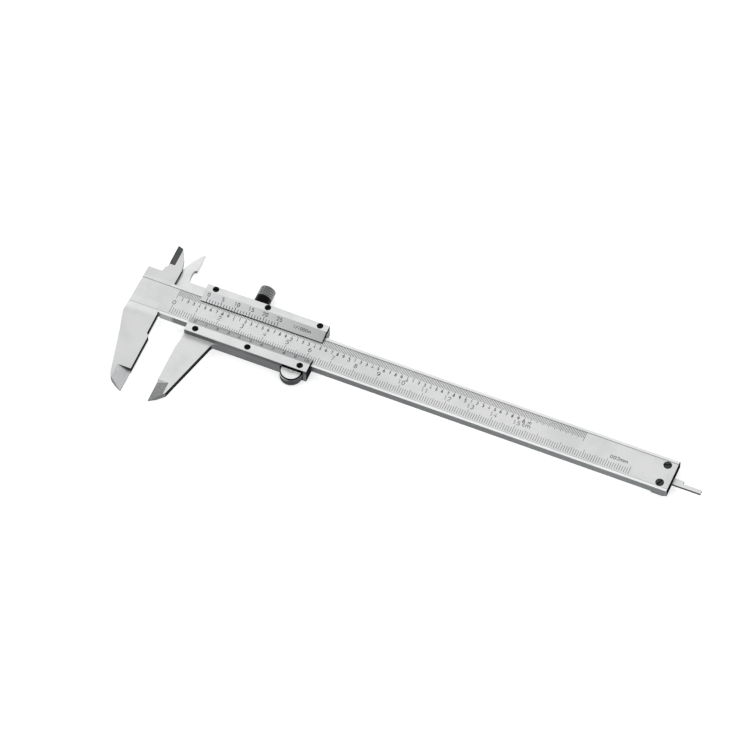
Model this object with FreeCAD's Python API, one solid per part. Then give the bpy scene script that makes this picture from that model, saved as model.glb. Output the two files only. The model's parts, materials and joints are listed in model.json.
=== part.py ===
import FreeCAD, Part
import math
import os

# Vernier caliper for 0 to 150 mm, lying on its back with the jaws 12 mm open.
# X runs along the beam, Y from the outside jaws to the inside jaws, Z up from the table.
# Below, x is counted from the fixed outside measuring face, y from the middle of the beam
# and z from the table. save() then moves the origin to the middle of the slider's back.

os.makedirs("parts", exist_ok=True)
V = FreeCAD.Vector

# Driving dimensions, in millimetres
OPENING = 12.0            # between the outside measuring faces, as the photo shows it
BEAM_HALF = 7.6           # half height of the beam
BEAM_BACK_Z = 1.4
BEAM_THICK = 3.5
CHANNEL_DEPTH = 0.2       # of the sunk face that carries the graduations
LAND_WIDTH = 1.25         # polished land along each edge
BEAM_LENGTH = 220.5       # from the fixed measuring face
END_CHAMFER = 0.1

HEAD_WIDTH = 14.6
HEAD_RISE = 4.3           # of the head above the beam
HEAD_TOP_WIDTH = 6.7
HEAD_LEAN = 0.75          # how far the head's end leans in from the jaw's shoulder to its top
JAW_DEPTH = 39.5          # outside jaws, from the beam to their tips
FACE_START = 12.0         # from the beam down to the flat measuring faces
FIXED_RELIEF = 1.05       # how far the face steps back above that
MOVING_RELIEF = 0.65
RELIEF_SLOPE = 1.2
BLADE_LENGTH = 10.3
MOVING_RUN_OUT = 1.0      # length of the slope that ends the moving blade's bevel
FIXED_BLADE_WIDTH = 5.7
MOVING_BLADE_WIDTH = 4.7
MOVING_JAW_WIDTH = 12.6
MOVING_JAW_STEP = 0.65    # its face lies this far behind the polished lands
JAW_SHOULDER = 0.111      # share of the jaw's depth where its back turns in
TIP_FLAT = 0.3
UNDERCUT_R = 0.45

INSIDE_REACH = 18.9       # inside jaws, from the beam to their tips
INSIDE_EDGE_X = -6.95     # measuring edge of the fixed inside jaw
FIXED_INSIDE_WIDTH = 7.4
MOVING_INSIDE_WIDTH = 7.0
INSIDE_BLADE_LENGTH = 8.3
INSIDE_BEVEL = 2.85       # width of the ground bevels
LAP_GAP = 0.1             # between the fixed inside jaw and the moving one behind it
KNIFE_EDGE = 0.6
NECK_RISE = 4.5

SLIDER_LENGTH = 53.7
RAIL_WIDTH_LOW = 4.55
GIB_SPACE = 1.1
FIT = 0.05                # between the beam and what slides on it
BACK_WALL = 1.3

PLATE_THICK = 1.95
PLATE_EDGE = 0.15         # thickness left at the thin edge of a bevel
PLATE_OVERLAP = 3.1       # how far the plates reach over the beam
UPPER_FLAT = 3.2          # width of the flat strip with the screws
LOWER_FLAT = 4.0
PLATE_SCREW_FIRST = 4.05
PLATE_SCREW_PITCH = 23.0
PLATE_HEAD_R = 1.3
PLATE_HEAD_H = 0.9
PLATE_SHANK_R = 0.7
SHANK_DEPTH = 2.7
SLOT_WIDTH = 0.4
SLOT_DEPTH = 0.45

LOCK_FROM_LEFT = 22.85
LOCK_Z = 3.5
LOCK_HEAD_R = 3.4
LOCK_HEAD_GAP = 0.4       # from the slider's edge to the head's smooth collar
LOCK_HEAD_LENGTH = 8.7
LOCK_HEAD_CHAMFER = 0.6
LOCK_SHANK_R = 1.25

GIB_PLAY = 0.15           # what the lock screw takes up
GIB_THICK = 0.8
SET_SCREW_FROM_LOCK = [-13.0, 16.0]
SET_SCREW_R = 0.9
SET_SCREW_Z = 3.2
SET_SCREW_SUNK = 0.3

ROLLER_FROM_LEFT = 47.15
ROLLER_R = 4.68
ROLLER_GRIP = 0.02        # gap that stands for the roller's touch on the beam
ROLLER_THICK = 4.15
ROLLER_CHAMFER = 0.5
ROLLER_TEETH = 44
TOOTH_GAP = 0.28
TOOTH_DEPTH = 0.22
ROLLER_AIR = 0.3
TAB_R = 3.2
TAB_THICK = 0.45
PIN_R = 1.0

ROD_Y = -0.35
ROD_HALF = 1.5
ROD_THICK = 1.15
ROD_IN_SLIDER = 13.35
ROD_OUT = 12.2            # past the end of the beam
ROD_TIP = 8.0             # length of the narrowed end
ROD_PLAY = 0.08
RIVET_FROM_ROD_END = [2.5, 8.0]
RIVET_R = 0.75

STOP_LENGTH = 7.5
STOP_FROM_END = 0.4
STOP_HALF = 7.4
STOP_ROUND = 2.0
STOP_CHAMFER = 0.2
END_SCREW_FROM_END = 4.3
END_SCREW_Y = 4.4
END_HEAD_R = 1.7
END_HEAD_H = 1.2
END_SHANK_R = 0.9

RUNNING = 0.02            # radial play of turning and screwed fits
FAR = 400.0               # cutters reach this far past the pieces

# Sizes that follow from them
LAND_Z = BEAM_BACK_Z + BEAM_THICK
SCALE_Z = LAND_Z - CHANNEL_DEPTH
CHANNEL_HALF = BEAM_HALF - LAND_WIDTH
LAP_Z = BEAM_BACK_Z + BEAM_THICK / 2
HEAD_TOP_Y = BEAM_HALF + HEAD_RISE
FACE_TOP_Y = -BEAM_HALF - FACE_START
JAW_TIP_Y = -BEAM_HALF - JAW_DEPTH
INSIDE_TIP_Y = BEAM_HALF + INSIDE_REACH
MOVING_EDGE_X = OPENING + INSIDE_EDGE_X
SLIDER_LEFT_X = OPENING + MOVING_RELIEF
SLIDER_RIGHT_X = SLIDER_LEFT_X + SLIDER_LENGTH
ORIGIN_X = (SLIDER_LEFT_X + SLIDER_RIGHT_X) / 2
SLIDER_EDGE_Y = BEAM_HALF + FIT + RAIL_WIDTH_LOW
RAIL_TOP_Z = LAND_Z + FIT
PLATE_TOP_Z = RAIL_TOP_Z + PLATE_THICK
PLATE_INNER_Y = BEAM_HALF - PLATE_OVERLAP
GIB_INNER_Y = BEAM_HALF + GIB_PLAY
LOCK_X = SLIDER_LEFT_X + LOCK_FROM_LEFT
LOCK_HEAD_Y = SLIDER_EDGE_Y + LOCK_HEAD_GAP
ROLLER_X = SLIDER_LEFT_X + ROLLER_FROM_LEFT
ROLLER_Y = -BEAM_HALF - ROLLER_GRIP - ROLLER_R
ROLLER_BOTTOM_Z = TAB_THICK + FIT
ROLLER_TOP_Z = ROLLER_BOTTOM_Z + ROLLER_THICK
ROD_START_X = SLIDER_RIGHT_X - ROD_IN_SLIDER
ROD_TIP_X = BEAM_LENGTH + ROD_OUT
ROD_FRONT_Z = BACK_WALL + ROD_THICK
STOP_RIGHT_X = BEAM_LENGTH - STOP_FROM_END
END_SCREW_X = BEAM_LENGTH - END_SCREW_FROM_END


def outline(start, *steps):
    """A flat face in XY; a step is a point for a line, or (middle, end) for an arc."""
    edges = []
    here = V(start[0], start[1], 0)
    for step in list(steps) + [start]:
        if isinstance(step[0], tuple):
            middle = V(step[0][0], step[0][1], 0)
            end = V(step[1][0], step[1][1], 0)
            edges.append(Part.Arc(here, middle, end).toShape())
        else:
            end = V(step[0], step[1], 0)
            edges.append(Part.makeLine(here, end))
        here = end
    return Part.Face(Part.Wire(edges))


def slab(face, z0, z1):
    """The XY face as a solid from z0 to z1."""
    return face.translated(V(0, 0, z0)).extrude(V(0, 0, z1 - z0))


def block(x0, x1, y0, y1, z0, z1):
    return Part.makeBox(x1 - x0, y1 - y0, z1 - z0, V(x0, y0, z0))


def post(x, y, radius, z0, z1):
    """A round post or hole along Z."""
    return Part.makeCylinder(radius, z1 - z0, V(x, y, z0))


def bar_y(x, z, radius, y0, y1):
    """A round bar or hole along Y."""
    return Part.makeCylinder(radius, y1 - y0, V(x, y0, z), V(0, 1, 0))


def prism_y(points, y0, y1):
    """A polygon of (x, z) points as a solid from y0 to y1."""
    corners = [V(x, y0, z) for x, z in points]
    return Part.Face(Part.makePolygon(corners + corners[:1])).extrude(V(0, y1 - y0, 0))


def prism_x(points, x0, x1):
    """A polygon of (y, z) points as a solid from x0 to x1."""
    corners = [V(x0, y, z) for y, z in points]
    return Part.Face(Part.makePolygon(corners + corners[:1])).extrude(V(x1 - x0, 0, 0))


def joined(*shapes):
    return shapes[0].fuse(list(shapes[1:])).removeSplitter()


def save(name, shape):
    moved = shape.copy()
    moved.translate(V(-ORIGIN_X, 0, 0))
    if len(moved.Solids) == 1:
        moved = moved.Solids[0]
    moved.exportStep("parts/" + name + ".step")


def outside_jaw_points(face_x, inward, width, shares):
    """Outline points: shares across the jaw from its measuring face and down from the beam."""
    return [(face_x + inward * across * width, -BEAM_HALF - down * JAW_DEPTH)
            for across, down in shares]


def inside_jaw_points(edge_x, inward, width, shares):
    """Outline points: shares across the jaw from its measuring edge and up from the beam."""
    return [(edge_x + inward * across * width, BEAM_HALF + up * INSIDE_REACH)
            for across, up in shares]


def blade_bevels(face_x, inward, width, front_z, run_out):
    """Cutters that grind an outside jaw to a blade: the jaw lies on the inward side of its face."""
    top = JAW_TIP_Y + BLADE_LENGTH
    edge_front = BEAM_BACK_Z + BEAM_THICK * 0.44
    edge_back = BEAM_BACK_Z + BEAM_THICK * 0.34
    front_slope = (front_z - edge_front) / width
    back_width = width * 0.6
    back_slope = (edge_back - BEAM_BACK_Z) / back_width
    over = BEAM_THICK / 3
    far = face_x + inward * width
    back = face_x + inward * back_width
    beyond = face_x - inward * over
    front = prism_y([(far, front_z), (beyond, edge_front - front_slope * over),
                     (beyond, FAR), (far, FAR)], -FAR, top)
    drop = 2 * (front_z - edge_front)
    front = front.common(prism_x([(-FAR, FAR), (top, FAR), (top, front_z),
                                  (top - 2 * run_out, front_z - drop), (-FAR, front_z - drop)],
                                 -FAR, FAR))
    rear = prism_y([(back, BEAM_BACK_Z), (beyond, edge_back + back_slope * over),
                    (beyond, -FAR), (back, -FAR)], -FAR, top)
    return front.fuse(rear)


def fixed_outside_jaw():
    """The outline down from the head, with a relieved top and a flat measuring face."""
    shoulder, curve, straight, belly, corner, corner_end = outside_jaw_points(
        0, -1, HEAD_WIDTH, [(1, JAW_SHOULDER), (0.932, 0.202), (0.829, 0.329), (0.473, 0.853),
                            (0.435, 0.885), (0.373, 0.91)])
    face = outline((-HEAD_WIDTH, 0), shoulder, (curve, straight), belly, (corner, corner_end),
                   (-TIP_FLAT, JAW_TIP_Y), (0, JAW_TIP_Y), (0, FACE_TOP_Y),
                   (-FIXED_RELIEF, FACE_TOP_Y + RELIEF_SLOPE), (-FIXED_RELIEF, 0))
    jaw = slab(face, BEAM_BACK_Z, LAND_Z)
    return jaw.cut(blade_bevels(0, -1, FIXED_BLADE_WIDTH, LAND_Z, 0))


def fixed_inside_jaw():
    """The front half of the lap, ground on the front to a knife edge."""
    x = INSIDE_EDGE_X
    base = BEAM_HALF - LAND_WIDTH
    blade_y = INSIDE_TIP_Y - INSIDE_BLADE_LENGTH
    hollow, lip, shelf, tip, belly, straight, root = inside_jaw_points(
        x, 1, FIXED_INSIDE_WIDTH, [(-0.068, 0.341), (0.047, 0.398), (0.038, 0.46), (0.338, 0.936),
                                   (0.689, 0.675), (0.878, 0.389), (0.858, 0)])
    neck = HEAD_TOP_WIDTH - HEAD_WIDTH
    face = outline((-HEAD_WIDTH, base), (-HEAD_WIDTH, HEAD_TOP_Y), (neck, HEAD_TOP_Y),
                   hollow, lip, shelf, (x, blade_y), (x, INSIDE_TIP_Y), tip,
                   (belly, straight), root, (root[0], base))
    jaw = slab(face, LAP_Z + LAP_GAP / 2, LAND_Z)
    slope = (LAND_Z - LAP_Z - KNIFE_EDGE) / INSIDE_BEVEL
    over = INSIDE_BEVEL / 3
    ground = prism_y([(x + INSIDE_BEVEL, LAND_Z), (x - over, LAP_Z + KNIFE_EDGE - slope * over),
                      (x - over, FAR), (x + INSIDE_BEVEL, FAR)], shelf[1], FAR)
    return jaw.cut(ground)


def screw_seat(x, y, head_r, head_h, shank_r, top_z, bottom_z):
    """The counterbored hole for a flat-headed screw whose head is flush with top_z."""
    head = post(x, y, head_r + RUNNING * 3, top_z - head_h, FAR)
    return head.fuse(post(x, y, shank_r + RUNNING, bottom_z, top_z))


def main_beam():
    bar = block(-HEAD_WIDTH, BEAM_LENGTH, -BEAM_HALF, BEAM_HALF, BEAM_BACK_Z, LAND_Z)
    corners = [e for e in bar.Edges
               if abs(e.CenterOfMass.x - BEAM_LENGTH) < 1e-6 and abs(e.Length - BEAM_THICK) < 1e-6]
    bar = bar.makeChamfer(END_CHAMFER, corners)
    beam = joined(bar, fixed_outside_jaw(), fixed_inside_jaw())
    channel = block(-FAR, FAR, -CHANNEL_HALF, CHANNEL_HALF, SCALE_Z, FAR)
    groove_half = ROD_HALF + ROD_PLAY
    groove = block(ROD_START_X - OPENING - 2 * ROD_HALF, FAR, ROD_Y - groove_half,
                   ROD_Y + groove_half, -FAR, ROD_FRONT_Z + ROD_PLAY)
    shoulder_y = -BEAM_HALF - JAW_SHOULDER * JAW_DEPTH
    undercut = post(-FIXED_RELIEF + UNDERCUT_R / 2, -BEAM_HALF, UNDERCUT_R, -FAR, FAR)
    lean = slab(outline((-HEAD_WIDTH, shoulder_y), (HEAD_LEAN - HEAD_WIDTH, HEAD_TOP_Y),
                        (-FAR, HEAD_TOP_Y), (-FAR, shoulder_y)), 0, FAR)
    beam = beam.cut([channel, groove, undercut, lean])
    for y in (END_SCREW_Y, -END_SCREW_Y):
        beam = beam.cut(screw_seat(END_SCREW_X, y, END_HEAD_R, END_HEAD_H, END_SHANK_R, LAND_Z, 0))
    return beam


def moving_outside_jaw():
    """The mirror of the fixed jaw, a little narrower, with a round root at the slider."""
    x = OPENING
    root_y = -SLIDER_EDGE_Y
    body_end = x + MOVING_JAW_WIDTH * 1.235
    corner, root, belly = outside_jaw_points(
        x, 1, MOVING_JAW_WIDTH, [(1.103, 0.131), (1.025, 0.168), (0.4365, 0.867)])
    face = outline((x, JAW_TIP_Y), (x, FACE_TOP_Y),
                   (x + MOVING_RELIEF, FACE_TOP_Y + RELIEF_SLOPE * 3), (x + MOVING_RELIEF, -BEAM_HALF),
                   (body_end, -BEAM_HALF), (body_end, root_y), (corner, root), belly,
                   (x + TIP_FLAT, JAW_TIP_Y))
    front_z = LAND_Z - MOVING_JAW_STEP
    jaw = slab(face, BEAM_BACK_Z, front_z)
    jaw = jaw.cut(block(-FAR, FAR, -BEAM_HALF - FIT, FAR, -FAR, FAR))
    return jaw.cut(blade_bevels(x, 1, MOVING_BLADE_WIDTH, front_z, MOVING_RUN_OUT))


def moving_inside_jaw():
    """The rear half of the lap with the neck that joins it to the slider."""
    x = MOVING_EDGE_X
    base = BEAM_HALF + 2 * LAP_GAP
    neck_y = BEAM_HALF + NECK_RISE
    blade_y = INSIDE_TIP_Y - INSIDE_BLADE_LENGTH * 0.954
    inner = SLIDER_LEFT_X + GIB_SPACE
    hollow, lip, tip, belly, root = inside_jaw_points(
        x, -1, MOVING_INSIDE_WIDTH,
        [(0.21, 0.409), (0.17, 0.545), (0.12, 0.989), (0.764, 0.55), (1, 0)])
    face = outline((inner, base), (inner, neck_y), (x - 0.075 * MOVING_INSIDE_WIDTH, neck_y),
                   (hollow, lip), (x, blade_y), (x, INSIDE_TIP_Y), tip, (belly, (root[0], base)))
    top = LAP_Z - LAP_GAP / 2
    jaw = slab(face, BEAM_BACK_Z, top)
    slope = (top - KNIFE_EDGE - BEAM_BACK_Z) / INSIDE_BEVEL
    ground = prism_y([(x - INSIDE_BEVEL, BEAM_BACK_Z), (x + LAP_GAP, top - KNIFE_EDGE + slope * LAP_GAP),
                      (x + LAP_GAP, -FAR), (x - INSIDE_BEVEL, -FAR)], blade_y - LAP_GAP, FAR)
    return jaw.cut(ground)


def slider_frame():
    """A channel open to the front that rides on the beam, with both moving jaws."""
    left, right, edge = SLIDER_LEFT_X, SLIDER_RIGHT_X, SLIDER_EDGE_Y
    wall = block(left, right, -edge, edge, 0, BACK_WALL)
    low_rail = block(left, right, -edge, -BEAM_HALF - FIT, 0, RAIL_TOP_Z)
    high_rail = block(left, right, BEAM_HALF + GIB_SPACE, edge, 0, RAIL_TOP_Z)
    tab = post(ROLLER_X, ROLLER_Y, TAB_R, 0, TAB_THICK)
    frame = joined(wall, low_rail, high_rail, moving_outside_jaw(), moving_inside_jaw(), tab)
    pocket_r = ROLLER_R + ROLLER_AIR
    pocket = post(ROLLER_X, ROLLER_Y, pocket_r, TAB_THICK, ROLLER_TOP_Z + FIT)
    slit = block(ROLLER_X - pocket_r, ROLLER_X + pocket_r, -FAR, -edge + 3 * ROLLER_AIR,
                 ROLLER_BOTTOM_Z, FAR)
    lock_hole = bar_y(LOCK_X, LOCK_Z, LOCK_SHANK_R + RUNNING, BEAM_HALF, FAR)
    pin_hole = post(ROLLER_X, ROLLER_Y, PIN_R, -FAR, ROLLER_BOTTOM_Z)
    frame = frame.cut([pocket, slit, lock_hole, pin_hole])
    for x in set_screw_places():
        frame = frame.cut(bar_y(x, SET_SCREW_Z, SET_SCREW_R + RUNNING, BEAM_HALF, FAR))
    for x in rivet_places():
        frame = frame.cut(post(x, ROD_Y, RIVET_R, -FAR, BACK_WALL))
    for x, y in plate_screw_places():
        frame = frame.cut(post(x, y, PLATE_SHANK_R + RUNNING, screw_foot(x, y) - FIT, FAR))
    return frame


def plate_screw_places():
    upper = SLIDER_EDGE_Y - UPPER_FLAT * 0.47
    lower = LOWER_FLAT * 0.51 - SLIDER_EDGE_Y
    first = SLIDER_LEFT_X + PLATE_SCREW_FIRST
    return [(first + i * PLATE_SCREW_PITCH, y) for y in (upper, lower) for i in range(3)]


def set_screw_places():
    return [LOCK_X + distance for distance in SET_SCREW_FROM_LOCK]


def rivet_places():
    return [ROD_START_X + distance for distance in RIVET_FROM_ROD_END]


def screw_foot(x, y):
    """Where a plate screw ends; the one above the thumb roller is short."""
    reach = ROLLER_R + ROLLER_AIR + PLATE_SHANK_R
    above_roller = math.hypot(x - ROLLER_X, y - ROLLER_Y) < reach
    return ROLLER_TOP_Z + 3 * FIT if above_roller else RAIL_TOP_Z - SHANK_DEPTH


def vernier_plate(side, flat_width):
    """A plate with a long bevel down to its thin edge; side is +1 above the scale, -1 below."""
    foot = RAIL_TOP_Z
    edge = SLIDER_EDGE_Y
    broken = PLATE_EDGE
    section = [(side * PLATE_INNER_Y, foot), (side * PLATE_INNER_Y, foot + PLATE_EDGE),
               (side * (edge - flat_width), PLATE_TOP_Z), (side * (edge - broken), PLATE_TOP_Z),
               (side * edge, PLATE_TOP_Z - broken), (side * edge, foot)]
    plate = prism_x(section, SLIDER_LEFT_X, SLIDER_RIGHT_X)
    for x, y in plate_screw_places():
        if y * side > 0:
            plate = plate.cut(screw_seat(x, y, PLATE_HEAD_R, PLATE_HEAD_H, PLATE_SHANK_R,
                                         PLATE_TOP_Z, foot - FIT))
    return plate


def flat_screw(x, y, head_r, head_h, shank_r, top_z, foot_z, slot_turn):
    """A slotted screw with a flat head; slot_turn is the angle of its slot from X, in degrees."""
    screw = joined(post(x, y, head_r, top_z - head_h, top_z),
                   post(x, y, shank_r, foot_z, top_z - head_h))
    slot = block(x - FAR, x + FAR, y - SLOT_WIDTH / 2, y + SLOT_WIDTH / 2, top_z - SLOT_DEPTH, FAR)
    slot.rotate(V(x, y, 0), V(0, 0, 1), slot_turn)
    return screw.cut(slot)


def gib_strip():
    """The adjusting strip between the upper rail and the beam."""
    return block(SLIDER_LEFT_X + GIB_SPACE + RAIL_WIDTH_LOW / 10, SLIDER_RIGHT_X - RAIL_WIDTH_LOW / 10,
                 GIB_INNER_Y, GIB_INNER_Y + GIB_THICK, BACK_WALL + GIB_PLAY, RAIL_TOP_Z - GIB_PLAY)


def set_screw(x):
    """A headless slotted screw that sets the play of the gib."""
    tip = GIB_INNER_Y + GIB_THICK + RUNNING
    outer = SLIDER_EDGE_Y - SET_SCREW_SUNK
    screw = bar_y(x, SET_SCREW_Z, SET_SCREW_R, tip, outer)
    slot = block(x - FAR, x + FAR, outer - SLOT_DEPTH, FAR,
                 SET_SCREW_Z - SLOT_WIDTH / 2, SET_SCREW_Z + SLOT_WIDTH / 2)
    return screw.cut(slot)


def lock_screw():
    """The thumb screw that presses the gib on the beam."""
    end = LOCK_HEAD_Y + LOCK_HEAD_LENGTH
    head = bar_y(LOCK_X, LOCK_Z, LOCK_HEAD_R, LOCK_HEAD_Y, end)
    rim_out = [e for e in head.Edges if abs(e.CenterOfMass.y - end) < 1e-6]
    head = head.makeChamfer(LOCK_HEAD_CHAMFER, rim_out)
    rim_in = [e for e in head.Edges if abs(e.CenterOfMass.y - LOCK_HEAD_Y) < 1e-6]
    head = head.makeChamfer(LOCK_HEAD_CHAMFER / 2, rim_in)
    shank = bar_y(LOCK_X, LOCK_Z, LOCK_SHANK_R, GIB_INNER_Y + GIB_THICK, LOCK_HEAD_Y)
    return joined(head, shank)


def thumb_roller():
    """The wheel under the thumb, with fine teeth round its rim and turned end faces."""
    body = post(ROLLER_X, ROLLER_Y, ROLLER_R, ROLLER_BOTTOM_Z, ROLLER_TOP_Z)
    ends = [e for e in body.Edges if abs(e.Length - 2 * math.pi * ROLLER_R) < 1e-3]
    body = body.makeChamfer(ROLLER_CHAMFER, ends)
    tooth = Part.makeBox(TOOTH_DEPTH * 2, TOOTH_GAP, ROLLER_TOP_Z,
                         V(ROLLER_R - TOOTH_DEPTH, -TOOTH_GAP / 2, 0))
    gaps = []
    for i in range(ROLLER_TEETH):
        gap = tooth.copy()
        gap.rotate(V(0, 0, 0), V(0, 0, 1), 360 * i / ROLLER_TEETH)
        gap.translate(V(ROLLER_X, ROLLER_Y, 0))
        gaps.append(gap)
    bore = post(ROLLER_X, ROLLER_Y, PIN_R + RUNNING, 0, FAR)
    return body.cut(gaps + [bore])


def roller_pin():
    """The riveted pin that the roller turns on."""
    return post(ROLLER_X, ROLLER_Y, PIN_R, RUNNING, ROLLER_TOP_Z - FIT)


def depth_rod():
    """The flat rod for depths, narrowed at its tip."""
    rod = block(ROD_START_X, ROD_TIP_X, ROD_Y - ROD_HALF, ROD_Y + ROD_HALF, BACK_WALL, ROD_FRONT_Z)
    rod = rod.cut(block(ROD_TIP_X - ROD_TIP, FAR, ROD_Y + ROD_HALF / 6, FAR, 0, FAR))
    for x in rivet_places():
        rod = rod.cut(post(x, ROD_Y, RIVET_R, 0, FAR))
    return rod


def rod_rivet(x):
    return post(x, ROD_Y, RIVET_R, RUNNING, ROD_FRONT_Z)


def end_stop_plate():
    """The plate under the end of the beam that keeps the slider on and guides the rod."""
    left = STOP_RIGHT_X - STOP_LENGTH
    plate = block(left, STOP_RIGHT_X, -STOP_HALF, STOP_HALF, 0, BEAM_BACK_Z)
    uprights = [e for e in plate.Edges if abs(e.Length - BEAM_BACK_Z) < 1e-6]
    plate = plate.makeFillet(STOP_ROUND, uprights)
    foot = [e for e in plate.Edges if abs(e.CenterOfMass.z) < 1e-6]
    plate = plate.makeChamfer(STOP_CHAMFER, foot)
    groove = block(-FAR, FAR, ROD_Y - ROD_HALF - ROD_PLAY, ROD_Y + ROD_HALF + ROD_PLAY,
                   BACK_WALL - ROD_PLAY, FAR)
    plate = plate.cut(groove)
    for y in (END_SCREW_Y, -END_SCREW_Y):
        plate = plate.cut(post(END_SCREW_X, y, END_SHANK_R + RUNNING, -FAR, FAR))
    return plate


def main():
    save("main_beam", main_beam())
    save("slider_frame", slider_frame())
    save("inch_vernier_plate", vernier_plate(1, UPPER_FLAT))
    save("metric_vernier_plate", vernier_plate(-1, LOWER_FLAT))
    names = ["upper_plate_screw_1", "upper_plate_screw_2", "upper_plate_screw_3",
             "lower_plate_screw_1", "lower_plate_screw_2", "lower_plate_screw_3"]
    for i, (x, y) in enumerate(plate_screw_places()):
        screw = flat_screw(x, y, PLATE_HEAD_R, PLATE_HEAD_H, PLATE_SHANK_R, PLATE_TOP_Z,
                           screw_foot(x, y), 20 + 47 * i)
        save(names[i], screw)
    save("gib_strip", gib_strip())
    for i, x in enumerate(set_screw_places()):
        save("gib_set_screw_" + str(i + 1), set_screw(x))
    save("lock_screw", lock_screw())
    save("thumb_roller", thumb_roller())
    save("roller_pin", roller_pin())
    save("depth_rod", depth_rod())
    for i, x in enumerate(rivet_places()):
        save("depth_rod_rivet_" + str(i + 1), rod_rivet(x))
    save("end_stop_plate", end_stop_plate())
    for i, y in enumerate((END_SCREW_Y, -END_SCREW_Y)):
        screw = flat_screw(END_SCREW_X, y, END_HEAD_R, END_HEAD_H, END_SHANK_R, LAND_Z, RUNNING,
                           130 - 60 * i)
        save("end_plate_screw_" + str(i + 1), screw)


main()
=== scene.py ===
"""The looks of a vernier caliper: satin steel, engraved scales, black screws and a knurled lock screw.

Lengths are in metres. X runs along the beam, Y from the outside to the inside jaws and Z out of the scale.
"""
import json
import math

import bmesh
import bpy
from bpy.props import FloatProperty, FloatVectorProperty, IntProperty, PointerProperty
from mathutils import Matrix, Vector


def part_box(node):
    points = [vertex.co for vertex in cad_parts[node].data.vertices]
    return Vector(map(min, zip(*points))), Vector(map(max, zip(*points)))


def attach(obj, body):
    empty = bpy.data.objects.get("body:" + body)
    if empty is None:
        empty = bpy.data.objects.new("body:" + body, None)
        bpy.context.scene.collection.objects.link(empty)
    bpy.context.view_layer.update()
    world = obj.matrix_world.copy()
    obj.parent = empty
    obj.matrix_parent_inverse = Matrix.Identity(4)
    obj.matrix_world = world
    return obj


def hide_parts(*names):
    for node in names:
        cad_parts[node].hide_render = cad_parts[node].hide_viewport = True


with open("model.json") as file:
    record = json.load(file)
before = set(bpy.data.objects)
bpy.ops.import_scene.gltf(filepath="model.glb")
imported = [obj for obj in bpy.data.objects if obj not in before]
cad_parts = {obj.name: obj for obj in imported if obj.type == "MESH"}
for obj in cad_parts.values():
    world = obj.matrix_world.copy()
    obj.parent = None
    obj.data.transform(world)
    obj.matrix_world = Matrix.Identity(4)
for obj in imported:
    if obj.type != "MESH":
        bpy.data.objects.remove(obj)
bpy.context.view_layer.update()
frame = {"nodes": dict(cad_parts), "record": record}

bl_info = {
    "name": "Vernier caliper",
    "version": (1, 0, 0),
    "blender": (4, 5, 0),
    "location": "3D View > Sidebar > Caliper",
    "description": "Finishes, engraved scales and fittings of a vernier caliper",
    "category": "Object",
}

MM = 0.001
INCH = 25.4 * MM

# Places that come from the frame
MOUNTS = {mount["name"]: Vector(mount["pos_m"]) for mount in frame["record"]["mounts"]}
BEAM_LOW, BEAM_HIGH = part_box("main_beam")
UPPER_LOW, UPPER_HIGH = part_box("inch_vernier_plate")
LOWER_LOW, LOWER_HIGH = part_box("metric_vernier_plate")
LOCK_LOW, LOCK_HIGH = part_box("lock_screw")
ROLLER_LOW, ROLLER_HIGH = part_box("thumb_roller")
FACE_X = MOUNTS["fixed_jaw_face"].x
OPENING = 12.0 * MM

# The graduated face lies this far below the polished lands, and zero this far from the fixed face
CHANNEL_DEPTH = 0.2 * MM
ZERO_FROM_FACE = 3.0 * MM
SCALE_Z = BEAM_HIGH.z - CHANNEL_DEPTH
ZERO_X = FACE_X + ZERO_FROM_FACE
VERNIER_ZERO_X = ZERO_X + OPENING
BEAM_HALF = 7.6 * MM
LAND_INNER = 6.35 * MM
BLADE_TOP_Y = BEAM_LOW.y + 10.3 * MM

# Bevels of the vernier plates
PLATE_EDGE = 0.15 * MM
UPPER_FLAT = 3.2 * MM
LOWER_FLAT = 4.0 * MM
BEVEL_RISE = UPPER_HIGH.z - UPPER_LOW.z - PLATE_EDGE
UPPER_SLOPE = math.atan2(BEVEL_RISE, UPPER_HIGH.y - UPPER_FLAT - UPPER_LOW.y)
LOWER_SLOPE = math.atan2(BEVEL_RISE, LOWER_HIGH.y - LOWER_LOW.y - LOWER_FLAT)

# The lock screw's head: a smooth collar and, at its outer end, the knurl
LOCK_HEAD_LENGTH = 8.7 * MM
KNURL_LENGTH = 5.5 * MM

# Above this line a place on the beam or slider belongs to the inside jaws
JAW_ROOT_Y = 8.0 * MM

# Where the rows of lines start on the scale face
METRIC_ROW_Y = -5.7 * MM
INCH_ROW_Y = 6.3 * MM

# Heights of the heads of the screws
PLATE_SCREW_HEAD = 0.9 * MM
END_SCREW_HEAD = 1.2 * MM

# Roughness of the satin faces and of the ground sides
FACE_ROUGHNESS = 0.36
SIDE_ROUGHNESS = 0.42

# The photographed view: direction from the object to the camera, its target and its distance
CAMERA_TARGET = Vector((52.40, -1.33, 4.79)) * MM
CAMERA_AZIMUTH = math.radians(22.92)
CAMERA_ELEVATION = math.radians(56.32)
CAMERA_DISTANCE = 2.392
CAMERA_LENS = 285.1


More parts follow.
